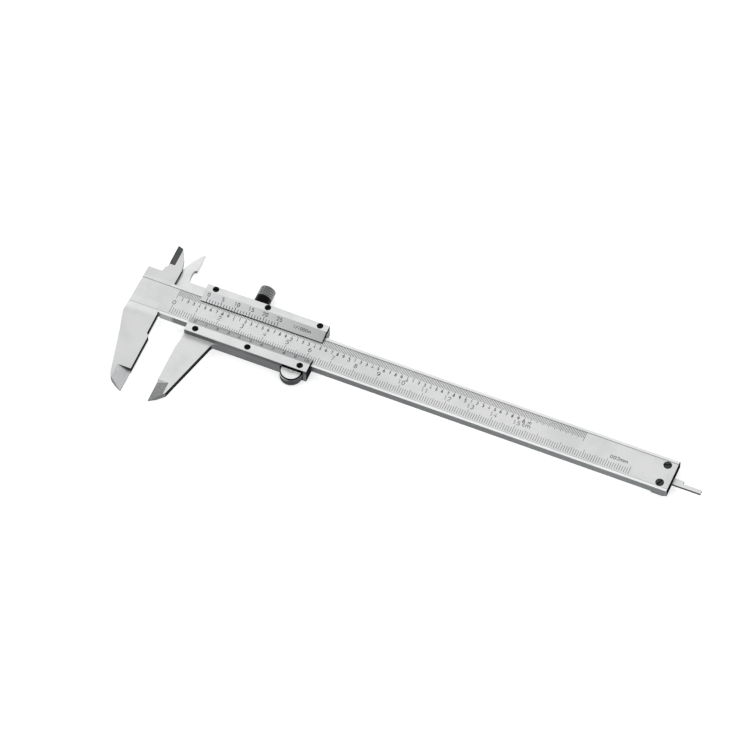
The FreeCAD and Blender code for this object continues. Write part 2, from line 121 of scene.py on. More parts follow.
class CaliperScaleSizes(bpy.types.PropertyGroup):
    """Sizes of the engraved graduations and numbers."""
    line_width: FloatProperty(name="Line width", description="Width of a graduation line",
                              default=0.18 * MM, unit="LENGTH", precision=5)
    vernier_line_width: FloatProperty(name="Vernier line width", description="Width of a vernier line",
                                      default=0.26 * MM, unit="LENGTH", precision=5)
    ink_height: FloatProperty(name="Ink height", description="How far the filled lines stand proud",
                              default=0.012 * MM, unit="LENGTH", precision=6)
    stroke_width: FloatProperty(name="Stroke width", description="Width of the strokes of the numbers",
                                default=0.27 * MM, unit="LENGTH", precision=5)
    tenth_stroke: FloatProperty(name="Tenth stroke", description="Width of the strokes of the tenths",
                                default=0.3 * MM, unit="LENGTH", precision=5)
    centimetre_height: FloatProperty(name="Centimetre numbers", description="Height of the numbers of cm",
                                     default=1.9 * MM, unit="LENGTH", precision=5)
    inch_height: FloatProperty(name="Inch numbers", description="Height of the numbers of inches",
                               default=1.5 * MM, unit="LENGTH", precision=5)
    tenth_height: FloatProperty(name="Tenth numbers", description="Height of the numbers of tenths",
                                default=1.1 * MM, unit="LENGTH", precision=5)


class CaliperFittingSizes(bpy.types.PropertyGroup):
    """Sizes of the knurls, threads and slots."""
    knurl_around: IntProperty(name="Knurl points around", description="Points in a row round the lock screw",
                              default=26, min=12, max=60)
    knurl_rows: IntProperty(name="Knurl rows", description="Rows of points along the lock screw",
                            default=9, min=3, max=20)
    roller_ribs: IntProperty(name="Roller ribs", description="Ribs round the thumb roller",
                             default=72, min=24, max=120)
    thread_pitch: FloatProperty(name="Thread pitch", description="Pitch of the lock screw's thread",
                                default=0.45 * MM, unit="LENGTH", precision=5)
    slot_width: FloatProperty(name="Slot width", description="Width of the screws' slots",
                              default=0.5 * MM, unit="LENGTH", precision=5)
    slot_depth: FloatProperty(name="Slot depth", description="Depth of the screws' slots",
                              default=0.3 * MM, unit="LENGTH", precision=5)


class CaliperColours(bpy.types.PropertyGroup):
    """Colours of the finishes."""
    satin: FloatVectorProperty(name="Satin chrome", description="Jaws, head and slider", subtype="COLOR",
                               default=(0.79, 0.795, 0.792), min=0, max=1)
    scale: FloatVectorProperty(name="Scale face", description="Face behind the graduations", subtype="COLOR",
                               default=(0.79, 0.795, 0.792), min=0, max=1)
    land: FloatVectorProperty(name="Polished lands", description="Bright strips along the beam",
                              subtype="COLOR", default=(0.94, 0.945, 0.942), min=0, max=1)
    # Sides: partly the darker ground steel, partly painted shade
    ground: FloatVectorProperty(name="Ground sides", description="Sides and edges of the steel",
                                subtype="COLOR", default=(0.175, 0.182, 0.186), min=0, max=1)
    # Painted shade: the measuring faces and outer sides of the jaws near black
    wall: FloatVectorProperty(name="Jaw faces", description="Measuring faces and outer sides of the jaws",
                              subtype="COLOR", default=(0.07, 0.075, 0.078), min=0, max=1)
    blade: FloatVectorProperty(name="Blade bevel", description="Ground bevel of the fixed outside jaw",
                               subtype="COLOR", default=(0.68, 0.69, 0.695), min=0, max=1)
    bevel: FloatVectorProperty(name="Vernier bevels", description="Matt bevels of the plates",
                               subtype="COLOR", default=(0.76, 0.77, 0.772), min=0, max=1)
    bright: FloatVectorProperty(name="Bright steel", description="Turned face of the thumb roller",
                                subtype="COLOR", default=(0.98, 0.98, 0.975), min=0, max=1)
    black: FloatVectorProperty(name="Black oxide", description="Screws and lock screw", subtype="COLOR",
                               default=(0.008, 0.0082, 0.0085), min=0, max=1)
    knurl: FloatVectorProperty(name="Knurl", description="Worn black of the lock screw's knurl",
                               subtype="COLOR", default=(0.17, 0.175, 0.177), min=0, max=1)
    mark: FloatVectorProperty(name="Filled marks", description="Filling of the engraved marks",
                              subtype="COLOR", default=(0.02, 0.021, 0.022), min=0, max=1)


class CaliperStageLevels(bpy.types.PropertyGroup):
    """Levels of the studio light."""
    sky_level: FloatProperty(name="Sky level", description="Brightness of the light all round",
                             default=0.95, min=0, max=2)
    back_power: FloatProperty(name="Back softbox", description="Power of the softbox behind the object",
                              default=1.6, min=0, max=500, unit="POWER")
    front_power: FloatProperty(name="Front softbox", description="Power of the softbox at the front left",
                               default=0.8, min=0, max=500, unit="POWER")
    floor: FloatVectorProperty(name="Floor", description="Colour of the floor", subtype="COLOR",
                               default=(0.8, 0.8, 0.8), min=0, max=1)


# Node trees

def put(tree, socket, value):
    """Links the socket to another socket, or sets its value."""
    if isinstance(value, bpy.types.NodeSocket):
        tree.links.new(value, socket)
    else:
        socket.default_value = value


def node(tree, kind, inputs=None, **settings):
    """A new node; inputs are by name or number, settings are the node's own properties."""
    made = tree.nodes.new(kind)
    for name, value in settings.items():
        setattr(made, name, value)
    for name, value in (inputs or {}).items():
        put(tree, made.inputs[name], value)
    return made


def calc(tree, operation, *values):
    """The output of a Math node."""
    return node(tree, "ShaderNodeMath", dict(enumerate(values)), operation=operation).outputs[0]


def ramp(tree, value, low, high, start=0.0, end=1.0):
    """A smooth step of value from start, at low, to end, at high."""
    made = node(tree, "ShaderNodeMapRange", {"Value": value, "From Min": low, "From Max": high,
                                             "To Min": start, "To Max": end})
    made.interpolation_type = "SMOOTHSTEP"
    return made.outputs[0]


def blend(tree, factor, first, second):
    """A mix of two colours."""
    made = tree.nodes.new("ShaderNodeMix")
    made.data_type = "RGBA"
    put(tree, made.inputs[0], factor)
    for socket, value in ((made.inputs[6], first), (made.inputs[7], second)):
        if not isinstance(value, bpy.types.NodeSocket):
            value = (*value[:3], 1.0)
        put(tree, socket, value)
    return made.outputs[2]


def times(tree, *values):
    """The product of several values."""
    product = values[0]
    for value in values[1:]:
        product = calc(tree, "MULTIPLY", product, value)
    return product


def band(tree, value, low, high, soft):
    """1 between low and high, with soft ends outside them."""
    return times(tree, ramp(tree, value, low - soft, low), ramp(tree, value, high + soft, high))


def shade(colour, factor):
    """A colour made lighter or darker by a factor."""
    return [c * factor for c in colour]


def tinted(tree, colour, tint):
    """A colour multiplied by a tint."""
    product = blend(tree, 1.0, colour, tint)
    product.node.blend_type = "MULTIPLY"
    return product


def relief(tree, shader, height, strength, distance=0.01 * MM):
    """Fine bumps from a height over the whole surface."""
    raised = node(tree, "ShaderNodeBump", {"Strength": strength, "Distance": distance, "Height": height})
    put(tree, shader.inputs["Normal"], raised.outputs[0])


def combine(tree, x, y, z):
    """A vector from three values."""
    return node(tree, "ShaderNodeCombineXYZ", {"X": x, "Y": y, "Z": z}).outputs[0]


def interface(tree, inputs, outputs):
    """Named group sockets; returns the group's input node and output node."""
    for name, kind, default in inputs:
        socket = tree.interface.new_socket(name, in_out="INPUT", socket_type="NodeSocket" + kind)
        if default is not None:
            socket.default_value = default
    for name, kind in outputs:
        tree.interface.new_socket(name, in_out="OUTPUT", socket_type="NodeSocket" + kind)
    return tree.nodes.new("NodeGroupInput"), tree.nodes.new("NodeGroupOutput")


def ground_grain_group():
    """Fine parallel grain of ground or brushed steel along one direction."""
    tree = bpy.data.node_groups.new("ground_grain", "ShaderNodeTree")
    source, result = interface(tree, [("Vector", "Vector", None), ("Along", "Float", 120.0),
                                      ("Across", "Float", 9000.0), ("Depth", "Float", 9000.0)],
                               [("Grain", "Float"), ("Streaks", "Float")])
    scale = combine(tree, source.outputs["Along"], source.outputs["Across"], source.outputs["Depth"])
    stretched = node(tree, "ShaderNodeVectorMath", {0: source.outputs["Vector"], 1: scale},
                     operation="MULTIPLY").outputs[0]
    fine = node(tree, "ShaderNodeTexNoise", {"Vector": stretched, "Scale": 1.0, "Detail": 4.0,
                                             "Roughness": 0.65}).outputs[0]
    coarse = node(tree, "ShaderNodeTexNoise", {"Vector": stretched, "Scale": 0.17, "Detail": 2.0,
                                               "Roughness": 0.5}).outputs[0]
    put(tree, result.inputs["Grain"], fine)
    put(tree, result.inputs["Streaks"], ramp(tree, coarse, 0.35, 0.65))
    return tree


def handling_group():
    """Soft smudges from fingers and sparse fine scratches."""
    tree = bpy.data.node_groups.new("handling_marks", "ShaderNodeTree")
    source, result = interface(tree, [("Vector", "Vector", None), ("Patch Size", "Float", 0.02)],
                               [("Smudge", "Float"), ("Scratch", "Float")])
    per_metre = calc(tree, "DIVIDE", 1.0, source.outputs["Patch Size"])
    patch = node(tree, "ShaderNodeTexNoise", {"Vector": source.outputs["Vector"], "Scale": per_metre,
                                              "Detail": 5.0, "Roughness": 0.6,
                                              "Distortion": 0.4}).outputs[0]
    put(tree, result.inputs["Smudge"], ramp(tree, patch, 0.38, 0.68))
    turned = node(tree, "ShaderNodeMapping", {"Vector": source.outputs["Vector"],
                                              "Rotation": (0.3, 0.2, 0.6),
                                              "Scale": (160.0, 9000.0, 9000.0)}).outputs[0]
    lines = node(tree, "ShaderNodeTexNoise", {"Vector": turned, "Scale": 1.0, "Detail": 1.0}).outputs[0]
    put(tree, result.inputs["Scratch"], ramp(tree, lines, 0.72, 0.8))
    return tree


def frosted_group():
    """The even fine frosting of satin chrome."""
    tree = bpy.data.node_groups.new("frosting", "ShaderNodeTree")
    source, result = interface(tree, [("Vector", "Vector", None), ("Grain Size", "Float", 0.0002)],
                               [("Frost", "Float")])
    per_metre = calc(tree, "DIVIDE", 1.0, source.outputs["Grain Size"])
    frost = node(tree, "ShaderNodeTexNoise", {"Vector": source.outputs["Vector"], "Scale": per_metre,
                                              "Detail": 3.0, "Roughness": 0.7}).outputs[0]
    put(tree, result.inputs["Frost"], frost)
    return tree


def facing_group():
    """Masks of which way a face looks, from its normal on the object's own axes."""
    tree = bpy.data.node_groups.new("facing", "ShaderNodeTree")
    source, result = interface(tree, [("Normal", "Vector", None)],
                               [("Front", "Float"), ("Bevel", "Float"), ("Side", "Float"),
                                ("Right", "Float"), ("Near", "Float")])
    axes = node(tree, "ShaderNodeSeparateXYZ", {0: source.outputs["Normal"]}).outputs
    flat = calc(tree, "ABSOLUTE", axes["Z"])
    front = ramp(tree, flat, 0.985, 0.995)
    side = ramp(tree, flat, 0.55, 0.35)
    put(tree, result.inputs["Front"], front)
    put(tree, result.inputs["Side"], side)
    rest = calc(tree, "SUBTRACT", 1.0, calc(tree, "ADD", front, side))
    put(tree, result.inputs["Bevel"], calc(tree, "MAXIMUM", rest, 0.0))
    put(tree, result.inputs["Right"], ramp(tree, axes["X"], 0.75, 0.92))
    put(tree, result.inputs["Near"], ramp(tree, axes["Y"], -0.5, -0.75))
    return tree


def group(tree, name, inputs):
    """A node of one of the groups above, with its inputs by name."""
    made = tree.nodes.new("ShaderNodeGroup")
    made.node_tree = bpy.data.node_groups[name]
    for key, value in inputs.items():
        put(tree, made.inputs[key], value)
    return made


def new_material(name):
    """A material with its tree, output and Principled node ready."""
    material = bpy.data.materials.new(name)
    material.use_nodes = True
    tree = material.node_tree
    tree.nodes.clear()
    shader = tree.nodes.new("ShaderNodeBsdfPrincipled")
    output = tree.nodes.new("ShaderNodeOutputMaterial")
    tree.links.new(shader.outputs[0], output.inputs[0])
    return material, tree, shader


def object_place(tree):
    """Object coordinates as a vector, as x, y and z, and the normal on the object's axes."""
    coordinate = tree.nodes.new("ShaderNodeTexCoord")
    place = coordinate.outputs["Object"]
    parts = node(tree, "ShaderNodeSeparateXYZ", {0: place}).outputs
    return place, parts["X"], parts["Y"], parts["Z"], coordinate.outputs["Normal"]


def steel_surface(tree, shader, place, colour, roughness, dull, tone=0.1):
    """Grain, frosting and handling marks over a metal colour; dull faces have no bright edge."""
    along, across = 130.0, 7000.0
    put(tree, shader.inputs["Specular Tint"], blend(tree, dull, (1.0, 1.0, 1.0), (0.12, 0.12, 0.12)))
    grain = group(tree, "ground_grain", {"Vector": place, "Along": along, "Across": across,
                                         "Depth": across})
    frost = group(tree, "frosting", {"Vector": place, "Grain Size": 0.35 * MM})
    marks = group(tree, "handling_marks", {"Vector": place, "Patch Size": 16 * MM})
    darker = tinted(tree, colour, (1 - tone,) * 3)
    uneven = calc(tree, "MULTIPLY", grain.outputs["Grain"], frost.outputs["Frost"])
    toned = blend(tree, ramp(tree, uneven, 0.12, 0.42), darker, colour)
    smudged = tinted(tree, toned, (0.94, 0.945, 0.95))
    put(tree, shader.inputs["Base Color"], blend(tree, marks.outputs["Smudge"], toned, smudged))
    shader.inputs["Metallic"].default_value = 1.0
    wide = ramp(tree, marks.outputs["Smudge"], 0.0, 1.0, -0.02, 0.05)
    thin = ramp(tree, grain.outputs["Grain"], 0.3, 0.7, -0.03, 0.03)
    rough = calc(tree, "ADD", calc(tree, "ADD", roughness, wide), thin)
    put(tree, shader.inputs["Roughness"], calc(tree, "SUBTRACT", rough,
                                               calc(tree, "MULTIPLY", marks.outputs["Scratch"], 0.08)))
    relief(tree, shader, calc(tree, "ADD", grain.outputs["Grain"], frost.outputs["Frost"]), 0.25)


def speckled(tree, place, colour, mask, size, spread):
    """Uneven ground patches over a colour where the mask is 1."""
    frost = group(tree, "frosting", {"Vector": place, "Grain Size": size}).outputs["Frost"]
    darker = tinted(tree, colour, (1 - spread,) * 3)
    lighter = tinted(tree, colour, (1 + spread,) * 3)
    patches = blend(tree, ramp(tree, frost, 0.35, 0.65), darker, lighter)
    return blend(tree, mask, colour, patches)


def satin_steel(name, colours, blade, inside_side):
    """Satin chrome on the faces, ground steel on the sides and bevels, with light and shade painted into the
    colours of the sides and bevels.
    """
    material, tree, shader = new_material(name)
    place, x, y, z, normal = object_place(tree)
    facing = group(tree, "facing", {"Normal": normal}).outputs
    # Painted light and shade on the sides: lighter towards the far end of the beam
    to_end = ramp(tree, x, 60 * MM, 150 * MM)
    side = blend(tree, to_end, shade(colours.ground, 0.96), shade(colours.ground, 1.18))
    # Painted shade: the measuring faces of the outside jaws near black
    low = ramp(tree, y, JAW_ROOT_Y + 0.5 * MM, JAW_ROOT_Y - 0.5 * MM)
    side = blend(tree, times(tree, facing["Right"], low), side, colours.wall)
    # Sides of the inside jaws in a tone of their own, painted light and shade
    far_side = ramp(tree, facing["Near"], 1.0, 0.0)
    high = ramp(tree, y, JAW_ROOT_Y - 0.5 * MM, JAW_ROOT_Y + 0.5 * MM)
    side = blend(tree, times(tree, far_side, high), side, inside_side)
    # Painted shade: the cut end of the beam near black
    end = ramp(tree, x, BEAM_HIGH.x - 1.2 * MM, BEAM_HIGH.x - 0.8 * MM)
    side = blend(tree, times(tree, end, far_side), side, shade(colours.wall, 0.25))
    # Sides and bevels darker than the satin faces: partly ground steel, partly painted shade
    colour = blend(tree, facing["Side"], colours.satin, side)
    bevel = blend(tree, facing["Near"], blade, shade(colours.satin, 0.85))
    colour = blend(tree, facing["Bevel"], colour, bevel)
    return material, tree, shader, facing, (place, x, y, z), colour


def satin_slider(name, colours):
    """The slider's finish, with a coarsely ground blade on the moving jaw, painted darker as shade."""
    # Painted shade: the moving jaw's blade darker than the fixed jaw's
    blade = shade(colours.blade, 0.49)
    material, tree, shader, facing, (place, x, y, z), colour = satin_steel(
        name, colours, blade, shade(colours.satin, 0.7))
    # Painted light: the back half of the moving inside jaw lighter
    back_half = times(tree, ramp(tree, z, 3.3 * MM, 3.2 * MM),
                      ramp(tree, y, JAW_ROOT_Y - 0.5 * MM, JAW_ROOT_Y), facing["Front"])
    colour = blend(tree, back_half, colour, shade(colours.satin, 1.13))
    # Painted light: the moving outside jaw lighter towards the metric plate
    by_plate = times(tree, ramp(tree, y, -15.5 * MM, LOWER_LOW.y), facing["Front"],
                     band(tree, z, 4.1 * MM, 4.4 * MM, 0.1 * MM))
    colour = blend(tree, by_plate, colour, shade(colours.satin, 1.22))
    # Depth rod beyond the end of the beam: its top painted lighter as light, its sides near black as painted
    # shade
    rod = ramp(tree, x, BEAM_HIGH.x, BEAM_HIGH.x + 0.1 * MM)
    colour = blend(tree, times(tree, rod, facing["Front"]), colour, shade(colours.satin, 1.06))
    colour = blend(tree, times(tree, rod, facing["Side"]), colour, shade(colours.wall, 0.8))
    # Painted shadow: the pocket round the thumb roller black
    roller = (ROLLER_LOW + ROLLER_HIGH) / 2
    reach = (ROLLER_HIGH.x - ROLLER_LOW.x) / 2 + 0.4 * MM
    pocket = ramp(tree, from_axis(tree, x, y, roller.x, roller.y), reach, reach - 0.02 * MM)
    colour = blend(tree, pocket, colour, colours.black)
    colour = speckled(tree, place, colour, facing["Bevel"], 0.5 * MM, 0.3)
    rough = ramp(tree, facing["Side"], 0.0, 1.0, FACE_ROUGHNESS, SIDE_ROUGHNESS)
    rough = calc(tree, "ADD", rough, calc(tree, "MULTIPLY", by_plate, 0.35))
    steel_surface(tree, shader, place, colour, rough, times(tree, facing["Side"], facing["Right"]))
    return material


def satin_beam(name, colours):
    """The beam's finish: polished lands, a scale face, and a bevel on the fixed inside jaw painted dark as
    shade, with more light and shade painted by place.
    """
    material, tree, shader, facing, (place, x, y, z), colour = satin_steel(
        name, colours, colours.blade, colours.ground)
    # Painted light and shade: the outside jaw a little darker than the head, and the inside jaw darker again
    lit = times(tree, ramp(tree, y, -11 * MM, -8 * MM, 0.945, 1.13),
                ramp(tree, y, 4 * MM, 9 * MM, 1.0, 0.83))
    colour = blend(tree, facing["Front"], colour, node(
        tree, "ShaderNodeVectorMath", {0: colour, "Scale": lit}, operation="SCALE").outputs[0])
    # Polished lands along the beam; the upper land painted a little darker as shade
    across = calc(tree, "ABSOLUTE", y)
    beyond_head = ramp(tree, x, FACE_X - 1.5 * MM, FACE_X - 1.2 * MM)
    strip = times(tree, band(tree, across, LAND_INNER + 0.05 * MM, BEAM_HALF, 0.05 * MM), beyond_head,
                  facing["Front"])
    land = blend(tree, ramp(tree, y, -MM, MM), colours.land, shade(colours.land, 0.91))
    colour = blend(tree, strip, colour, land)
    # Sunk scale face, painted lighter at the low end of the head as light
    sunk = times(tree, ramp(tree, across, LAND_INNER, LAND_INNER - 0.05 * MM), facing["Front"])
    head_low = times(tree, ramp(tree, x, FACE_X - 2 * MM, FACE_X - 3 * MM),
                     ramp(tree, y, -2 * MM, -4 * MM))
    colour = blend(tree, sunk, colour, blend(tree, head_low, colours.scale, shade(colours.scale, 1.07)))
    # Painted shade along the step between the lands and the scale face, darker on the lower side
    step = times(tree, band(tree, across, LAND_INNER - 0.13 * MM, LAND_INNER + 0.1 * MM, 0.04 * MM),
                 ramp(tree, z, SCALE_Z - 0.1 * MM, SCALE_Z - 0.05 * MM))
    line = blend(tree, ramp(tree, y, -MM, MM), shade(colours.satin, 0.3), shade(colours.satin, 0.72))
    colour = blend(tree, step, colour, line)
    # Painted shade: a black rim at the end of the beam
    rim = times(tree, ramp(tree, x, BEAM_HIGH.x - 0.36 * MM, BEAM_HIGH.x - 0.28 * MM), facing["Front"])
    colour = blend(tree, rim, colour, colours.black)
    # Painted light: the lower edge of the beam beside the fixed jaw lighter than the other sides
    near_jaw = times(tree, band(tree, x, FACE_X, FACE_X + 4 * MM, 2.5 * MM), facing["Near"],
                     band(tree, y, -BEAM_HALF - 0.1 * MM, -BEAM_HALF + 0.1 * MM, 0.1 * MM))
    colour = blend(tree, near_jaw, colour, shade(colours.satin, 0.55))
    # Painted light: the foot of the measuring face in the satin's tone
    foot = times(tree, facing["Right"], ramp(tree, y, -BEAM_HALF, -BEAM_HALF - 0.5 * MM),
                 ramp(tree, z, 2.4 * MM, 2.1 * MM))
    colour = blend(tree, foot, colour, colours.satin)
    # Painted shade on the step above the blade of the outside jaw
    blade_step = times(tree, facing["Near"], band(tree, y, BLADE_TOP_Y - 0.1 * MM, BLADE_TOP_Y + 0.1 * MM,
                                                  0.1 * MM))
    colour = blend(tree, blade_step, colour, shade(colours.wall, 0.7))
    # Knife bevel of the inside jaw painted dark as shade, lighter inside its darker painted border
    knife_left, knife_right = BEAM_LOW.x + 7.65 * MM, BEAM_LOW.x + 10.5 * MM
    knife = times(tree, facing["Bevel"], ramp(tree, y, BEAM_HALF, BEAM_HALF + MM))
    inner = times(tree, band(tree, x, knife_left + 0.35 * MM, knife_right - 0.35 * MM, 0.25 * MM),
                  band(tree, y, 17.0 * MM, BEAM_HIGH.y - 0.8 * MM, 0.3 * MM))
    dark = blend(tree, inner, shade(colours.ground, 0.33), shade(colours.ground, 0.64))
    colour = blend(tree, knife, colour, dark)
    colour = speckled(tree, place, colour, facing["Bevel"], 0.4 * MM, 0.14)
    rough = calc(tree, "SUBTRACT", ramp(tree, facing["Side"], 0.0, 1.0, FACE_ROUGHNESS, SIDE_ROUGHNESS),
                 calc(tree, "MULTIPLY", strip, 0.1))
    steel_surface(tree, shader, place, colour, rough, times(tree, facing["Side"], facing["Right"]))
    return material


def vernier_steel(name, colours, left_tone, right_tone, thin_edge_y, side_tone):
    """Bright flat strips and matt bevels, with light and shade painted in: the bevels darken to the right
    and the thin edges are painted black.
    """
    material, tree, shader = new_material(name)
    place, x, y, _, normal = object_place(tree)
    facing = group(tree, "facing", {"Normal": normal}).outputs
    # Painted light and shade: the bevels darken to the right, and the flat strips are a little lighter than
    # the satin
    along = ramp(tree, x, UPPER_LOW.x, UPPER_HIGH.x)
    bevel = blend(tree, along, shade(colours.bevel, left_tone), shade(colours.bevel, right_tone))
    # Painted shade: the bevel black along its thin edge and at its right end
    outwards = 1 if thin_edge_y > 0 else -1
    from_edge = calc(tree, "MULTIPLY", calc(tree, "SUBTRACT", y, thin_edge_y), outwards)
    bevel = blend(tree, ramp(tree, from_edge, 0.15 * MM, 0.05 * MM), bevel, colours.wall)
    bevel = blend(tree, ramp(tree, x, UPPER_HIGH.x - 0.28 * MM, UPPER_HIGH.x - 0.18 * MM), bevel,
                  colours.wall)
    colour = blend(tree, facing["Bevel"], shade(colours.satin, 1.05), bevel)
    # Sides, with painted shade: darker to the right, and black at the thin edge, over the roller and at the
    # right end
    side = blend(tree, along, shade(colours.ground, side_tone), shade(colours.ground, side_tone * 0.6))
    side = blend(tree, ramp(tree, from_edge, 0.1 * MM, 0.05 * MM), side, colours.black)
    roller_gap = band(tree, x, ROLLER_LOW.x + 0.7 * MM, ROLLER_HIGH.x + 0.3 * MM, 0.4 * MM)
    side = blend(tree, times(tree, roller_gap, facing["Near"]), side, colours.black)
    side = blend(tree, facing["Right"], side, shade(colours.wall, 0.3))
    colour = blend(tree, facing["Side"], colour, side)
    roughness = ramp(tree, facing["Bevel"], 0.0, 1.0, 0.34, 0.5)
    steel_surface(tree, shader, place, colour, roughness, facing["Side"], tone=0.08)
    return material


def bright_steel(name, colours, centre, rim):
    """Polished steel turned about an upright axis: a bright disc, a dark ring painted as shade and a chamfer
    lit on one side by a painted highlight.
    """
    material, tree, shader = new_material(name)
    place, x, y, z, normal = object_place(tree)
    facing = group(tree, "facing", {"Normal": normal}).outputs
    distance = from_axis(tree, x, y, centre.x, centre.y)
    fine = combine(tree, calc(tree, "MULTIPLY", distance, 9000.0), 0.0, 0.0)
    rings = node(tree, "ShaderNodeTexNoise", {"Vector": fine, "Scale": 1.0, "Detail": 3.0}).outputs[0]
    marks = group(tree, "handling_marks", {"Vector": place, "Patch Size": 4 * MM})
    # Painted light and shade: a dark ribbed wall, a chamfer with a painted highlight on its left side, and a
    # black crown
    painted_highlight_side = ramp(tree, calc(tree, "SUBTRACT", x, centre.x), 0.4 * rim, -0.7 * rim)
    chamfer = blend(tree, painted_highlight_side, shade(colours.ground, 0.9), colours.satin)
    wall = blend(tree, ramp(tree, z, ROLLER_HIGH.z - 1.3 * MM, ROLLER_HIGH.z - 1.2 * MM),
                 shade(colours.ground, 0.6), chamfer)
    wall = blend(tree, ramp(tree, z, ROLLER_HIGH.z - 0.6 * MM, ROLLER_HIGH.z - 0.55 * MM), wall,
                 colours.black)
    # Painted shade: a dark ring round the edge of the top face
    ring = ramp(tree, distance, rim - 0.56 * MM, rim - 0.5 * MM)
    edge = calc(tree, "MAXIMUM", facing["Side"], ring)
    colour = blend(tree, edge, colours.bright, wall)
    shader.inputs["Specular Tint"].default_value = (0.3, 0.3, 0.3, 1.0)
    soft = tinted(tree, colour, (0.95, 0.95, 0.95))
    put(tree, shader.inputs["Base Color"], blend(tree, marks.outputs["Smudge"], colour, soft))
    put(tree, shader.inputs["Metallic"], ramp(tree, edge, 0.0, 1.0, 0.3, 1.0))
    rough = ramp(tree, facing["Side"], 0.0, 1.0, 0.36, 0.34)
    put(tree, shader.inputs["Roughness"], calc(tree, "ADD", rough,
                                               calc(tree, "MULTIPLY", marks.outputs["Smudge"], 0.07)))
    relief(tree, shader, rings, 0.2)
    return material


def from_axis(tree, x, y, axis_x, axis_y):
    """Distance from an axis that crosses the plane of x and y."""
    from_x = calc(tree, "SUBTRACT", x, axis_x)
    from_y = calc(tree, "SUBTRACT", y, axis_y)
    return calc(tree, "SQRT", calc(tree, "ADD", times(tree, from_x, from_x), times(tree, from_y, from_y)))


def black_oxide(name, colours):
    """Black oxide over steel, a little lighter in patches."""
    material, tree, shader = new_material(name)
    place, _, _, z, normal = object_place(tree)
    frost = group(tree, "frosting", {"Vector": place, "Grain Size": 0.12 * MM})
    marks = group(tree, "handling_marks", {"Vector": place, "Patch Size": 2.5 * MM})
    facing = group(tree, "facing", {"Normal": normal}).outputs
    colour = blend(tree, ramp(tree, frost.outputs["Frost"], 0.35, 0.65), colours.black,
                   shade(colours.black, 3.0))
    # Painted highlight: the walls and slots of the plate screws lighter
    upper = ramp(tree, z, BEAM_HIGH.z + 0.2 * MM, BEAM_HIGH.z + 0.4 * MM)
    sunk = band(tree, z, UPPER_HIGH.z - 0.6 * MM, UPPER_HIGH.z - 0.2 * MM, 0.05 * MM)
    light = times(tree, upper, calc(tree, "MAXIMUM", facing["Side"], sunk))
    colour = blend(tree, light, colour, shade(colours.black, 36))
    # Painted highlight: the tops of the end screws lighter, uneven in patches
    lighter_tips = times(tree, facing["Front"], band(tree, z, BEAM_HIGH.z - 0.05 * MM, BEAM_HIGH.z, 0.02 * MM),
                 ramp(tree, frost.outputs["Frost"], 0.3, 0.6, 0.5, 1.0))
    put(tree, shader.inputs["Base Color"], blend(tree, lighter_tips, colour, shade(colours.black, 8)))
    shader.inputs["Metallic"].default_value = 1.0
    shader.inputs["Specular Tint"].default_value = (0.3, 0.3, 0.3, 1.0)
    put(tree, shader.inputs["Roughness"], ramp(tree, marks.outputs["Smudge"], 0.0, 1.0, 0.3, 0.46))
    relief(tree, shader, frost.outputs["Frost"], 0.3)
    return material


def knurled_black(name, colours):
    """Black oxide rubbed to steel on the tips of the knurl; the smooth collar by the slider stays black."""
    material, tree, shader = new_material(name)
    place, x, y, z, _ = object_place(tree)
    middle = (LOCK_LOW + LOCK_HIGH) / 2
    outer = (LOCK_HIGH.x - LOCK_LOW.x) / 2
    distance = from_axis(tree, x, z, middle.x, middle.z)
    frost = group(tree, "frosting", {"Vector": place, "Grain Size": 0.12 * MM})
    lighter_tips = times(tree, ramp(tree, distance, outer - 0.19 * MM, outer - 0.05 * MM),
                 ramp(tree, frost.outputs["Frost"], 0.3, 0.55))
    colour = blend(tree, ramp(tree, frost.outputs["Frost"], 0.35, 0.65), colours.knurl,
                   shade(colours.knurl, 1.6))
    groove = ramp(tree, distance, outer - 0.2 * MM, outer - 0.25 * MM)
    colour = blend(tree, groove, colour, shade(colours.knurl, 0.12))
    colour = blend(tree, lighter_tips, colour, shade(colours.satin, 0.9))
    collar = ramp(tree, y, LOCK_HIGH.y - KNURL_LENGTH, LOCK_HIGH.y - KNURL_LENGTH - 0.05 * MM)
    colour = blend(tree, collar, colour, colours.black)
    put(tree, shader.inputs["Base Color"], colour)
    shader.inputs["Metallic"].default_value = 1.0
    put(tree, shader.inputs["Roughness"], ramp(tree, frost.outputs["Frost"], 0.3, 0.7, 0.32, 0.46))
    relief(tree, shader, frost.outputs["Frost"], 0.3)
    return material


def mark_filling(name, colours):
    """The dark filling of the engraved lines and numbers, a little uneven."""
    material, tree, shader = new_material(name)
    place = object_place(tree)[0]
    frost = group(tree, "frosting", {"Vector": place, "Grain Size": 0.15 * MM})
    put(tree, shader.inputs["Base Color"], blend(tree, ramp(tree, frost.outputs["Frost"], 0.35, 0.7),
                                                 colours.mark, shade(colours.mark, 2.6)))
    put(tree, shader.inputs["Roughness"], ramp(tree, frost.outputs["Frost"], 0.3, 0.7, 0.45, 0.65))
    relief(tree, shader, frost.outputs["Frost"], 0.2, 0.005 * MM)
    return material


# Meshes

def link(name, mesh):
    """A new object in the scene."""
    made = bpy.data.objects.new(name, mesh)
    bpy.context.scene.collection.objects.link(made)
    return made


def grown(made, tree, values):
    """The plain mesh that a geometry tree makes of the object, with its inputs by name."""
    modifier = made.modifiers.new("grow", "NODES")
    modifier.node_group = tree
    for item in tree.interface.items_tree:
        if item.item_type == "SOCKET" and item.in_out == "INPUT" and item.name in values:
            modifier[item.identifier] = values[item.name]
    evaluated = made.evaluated_get(bpy.context.evaluated_depsgraph_get())
    mesh = bpy.data.meshes.new_from_object(evaluated)
    made.modifiers.clear()
    return mesh


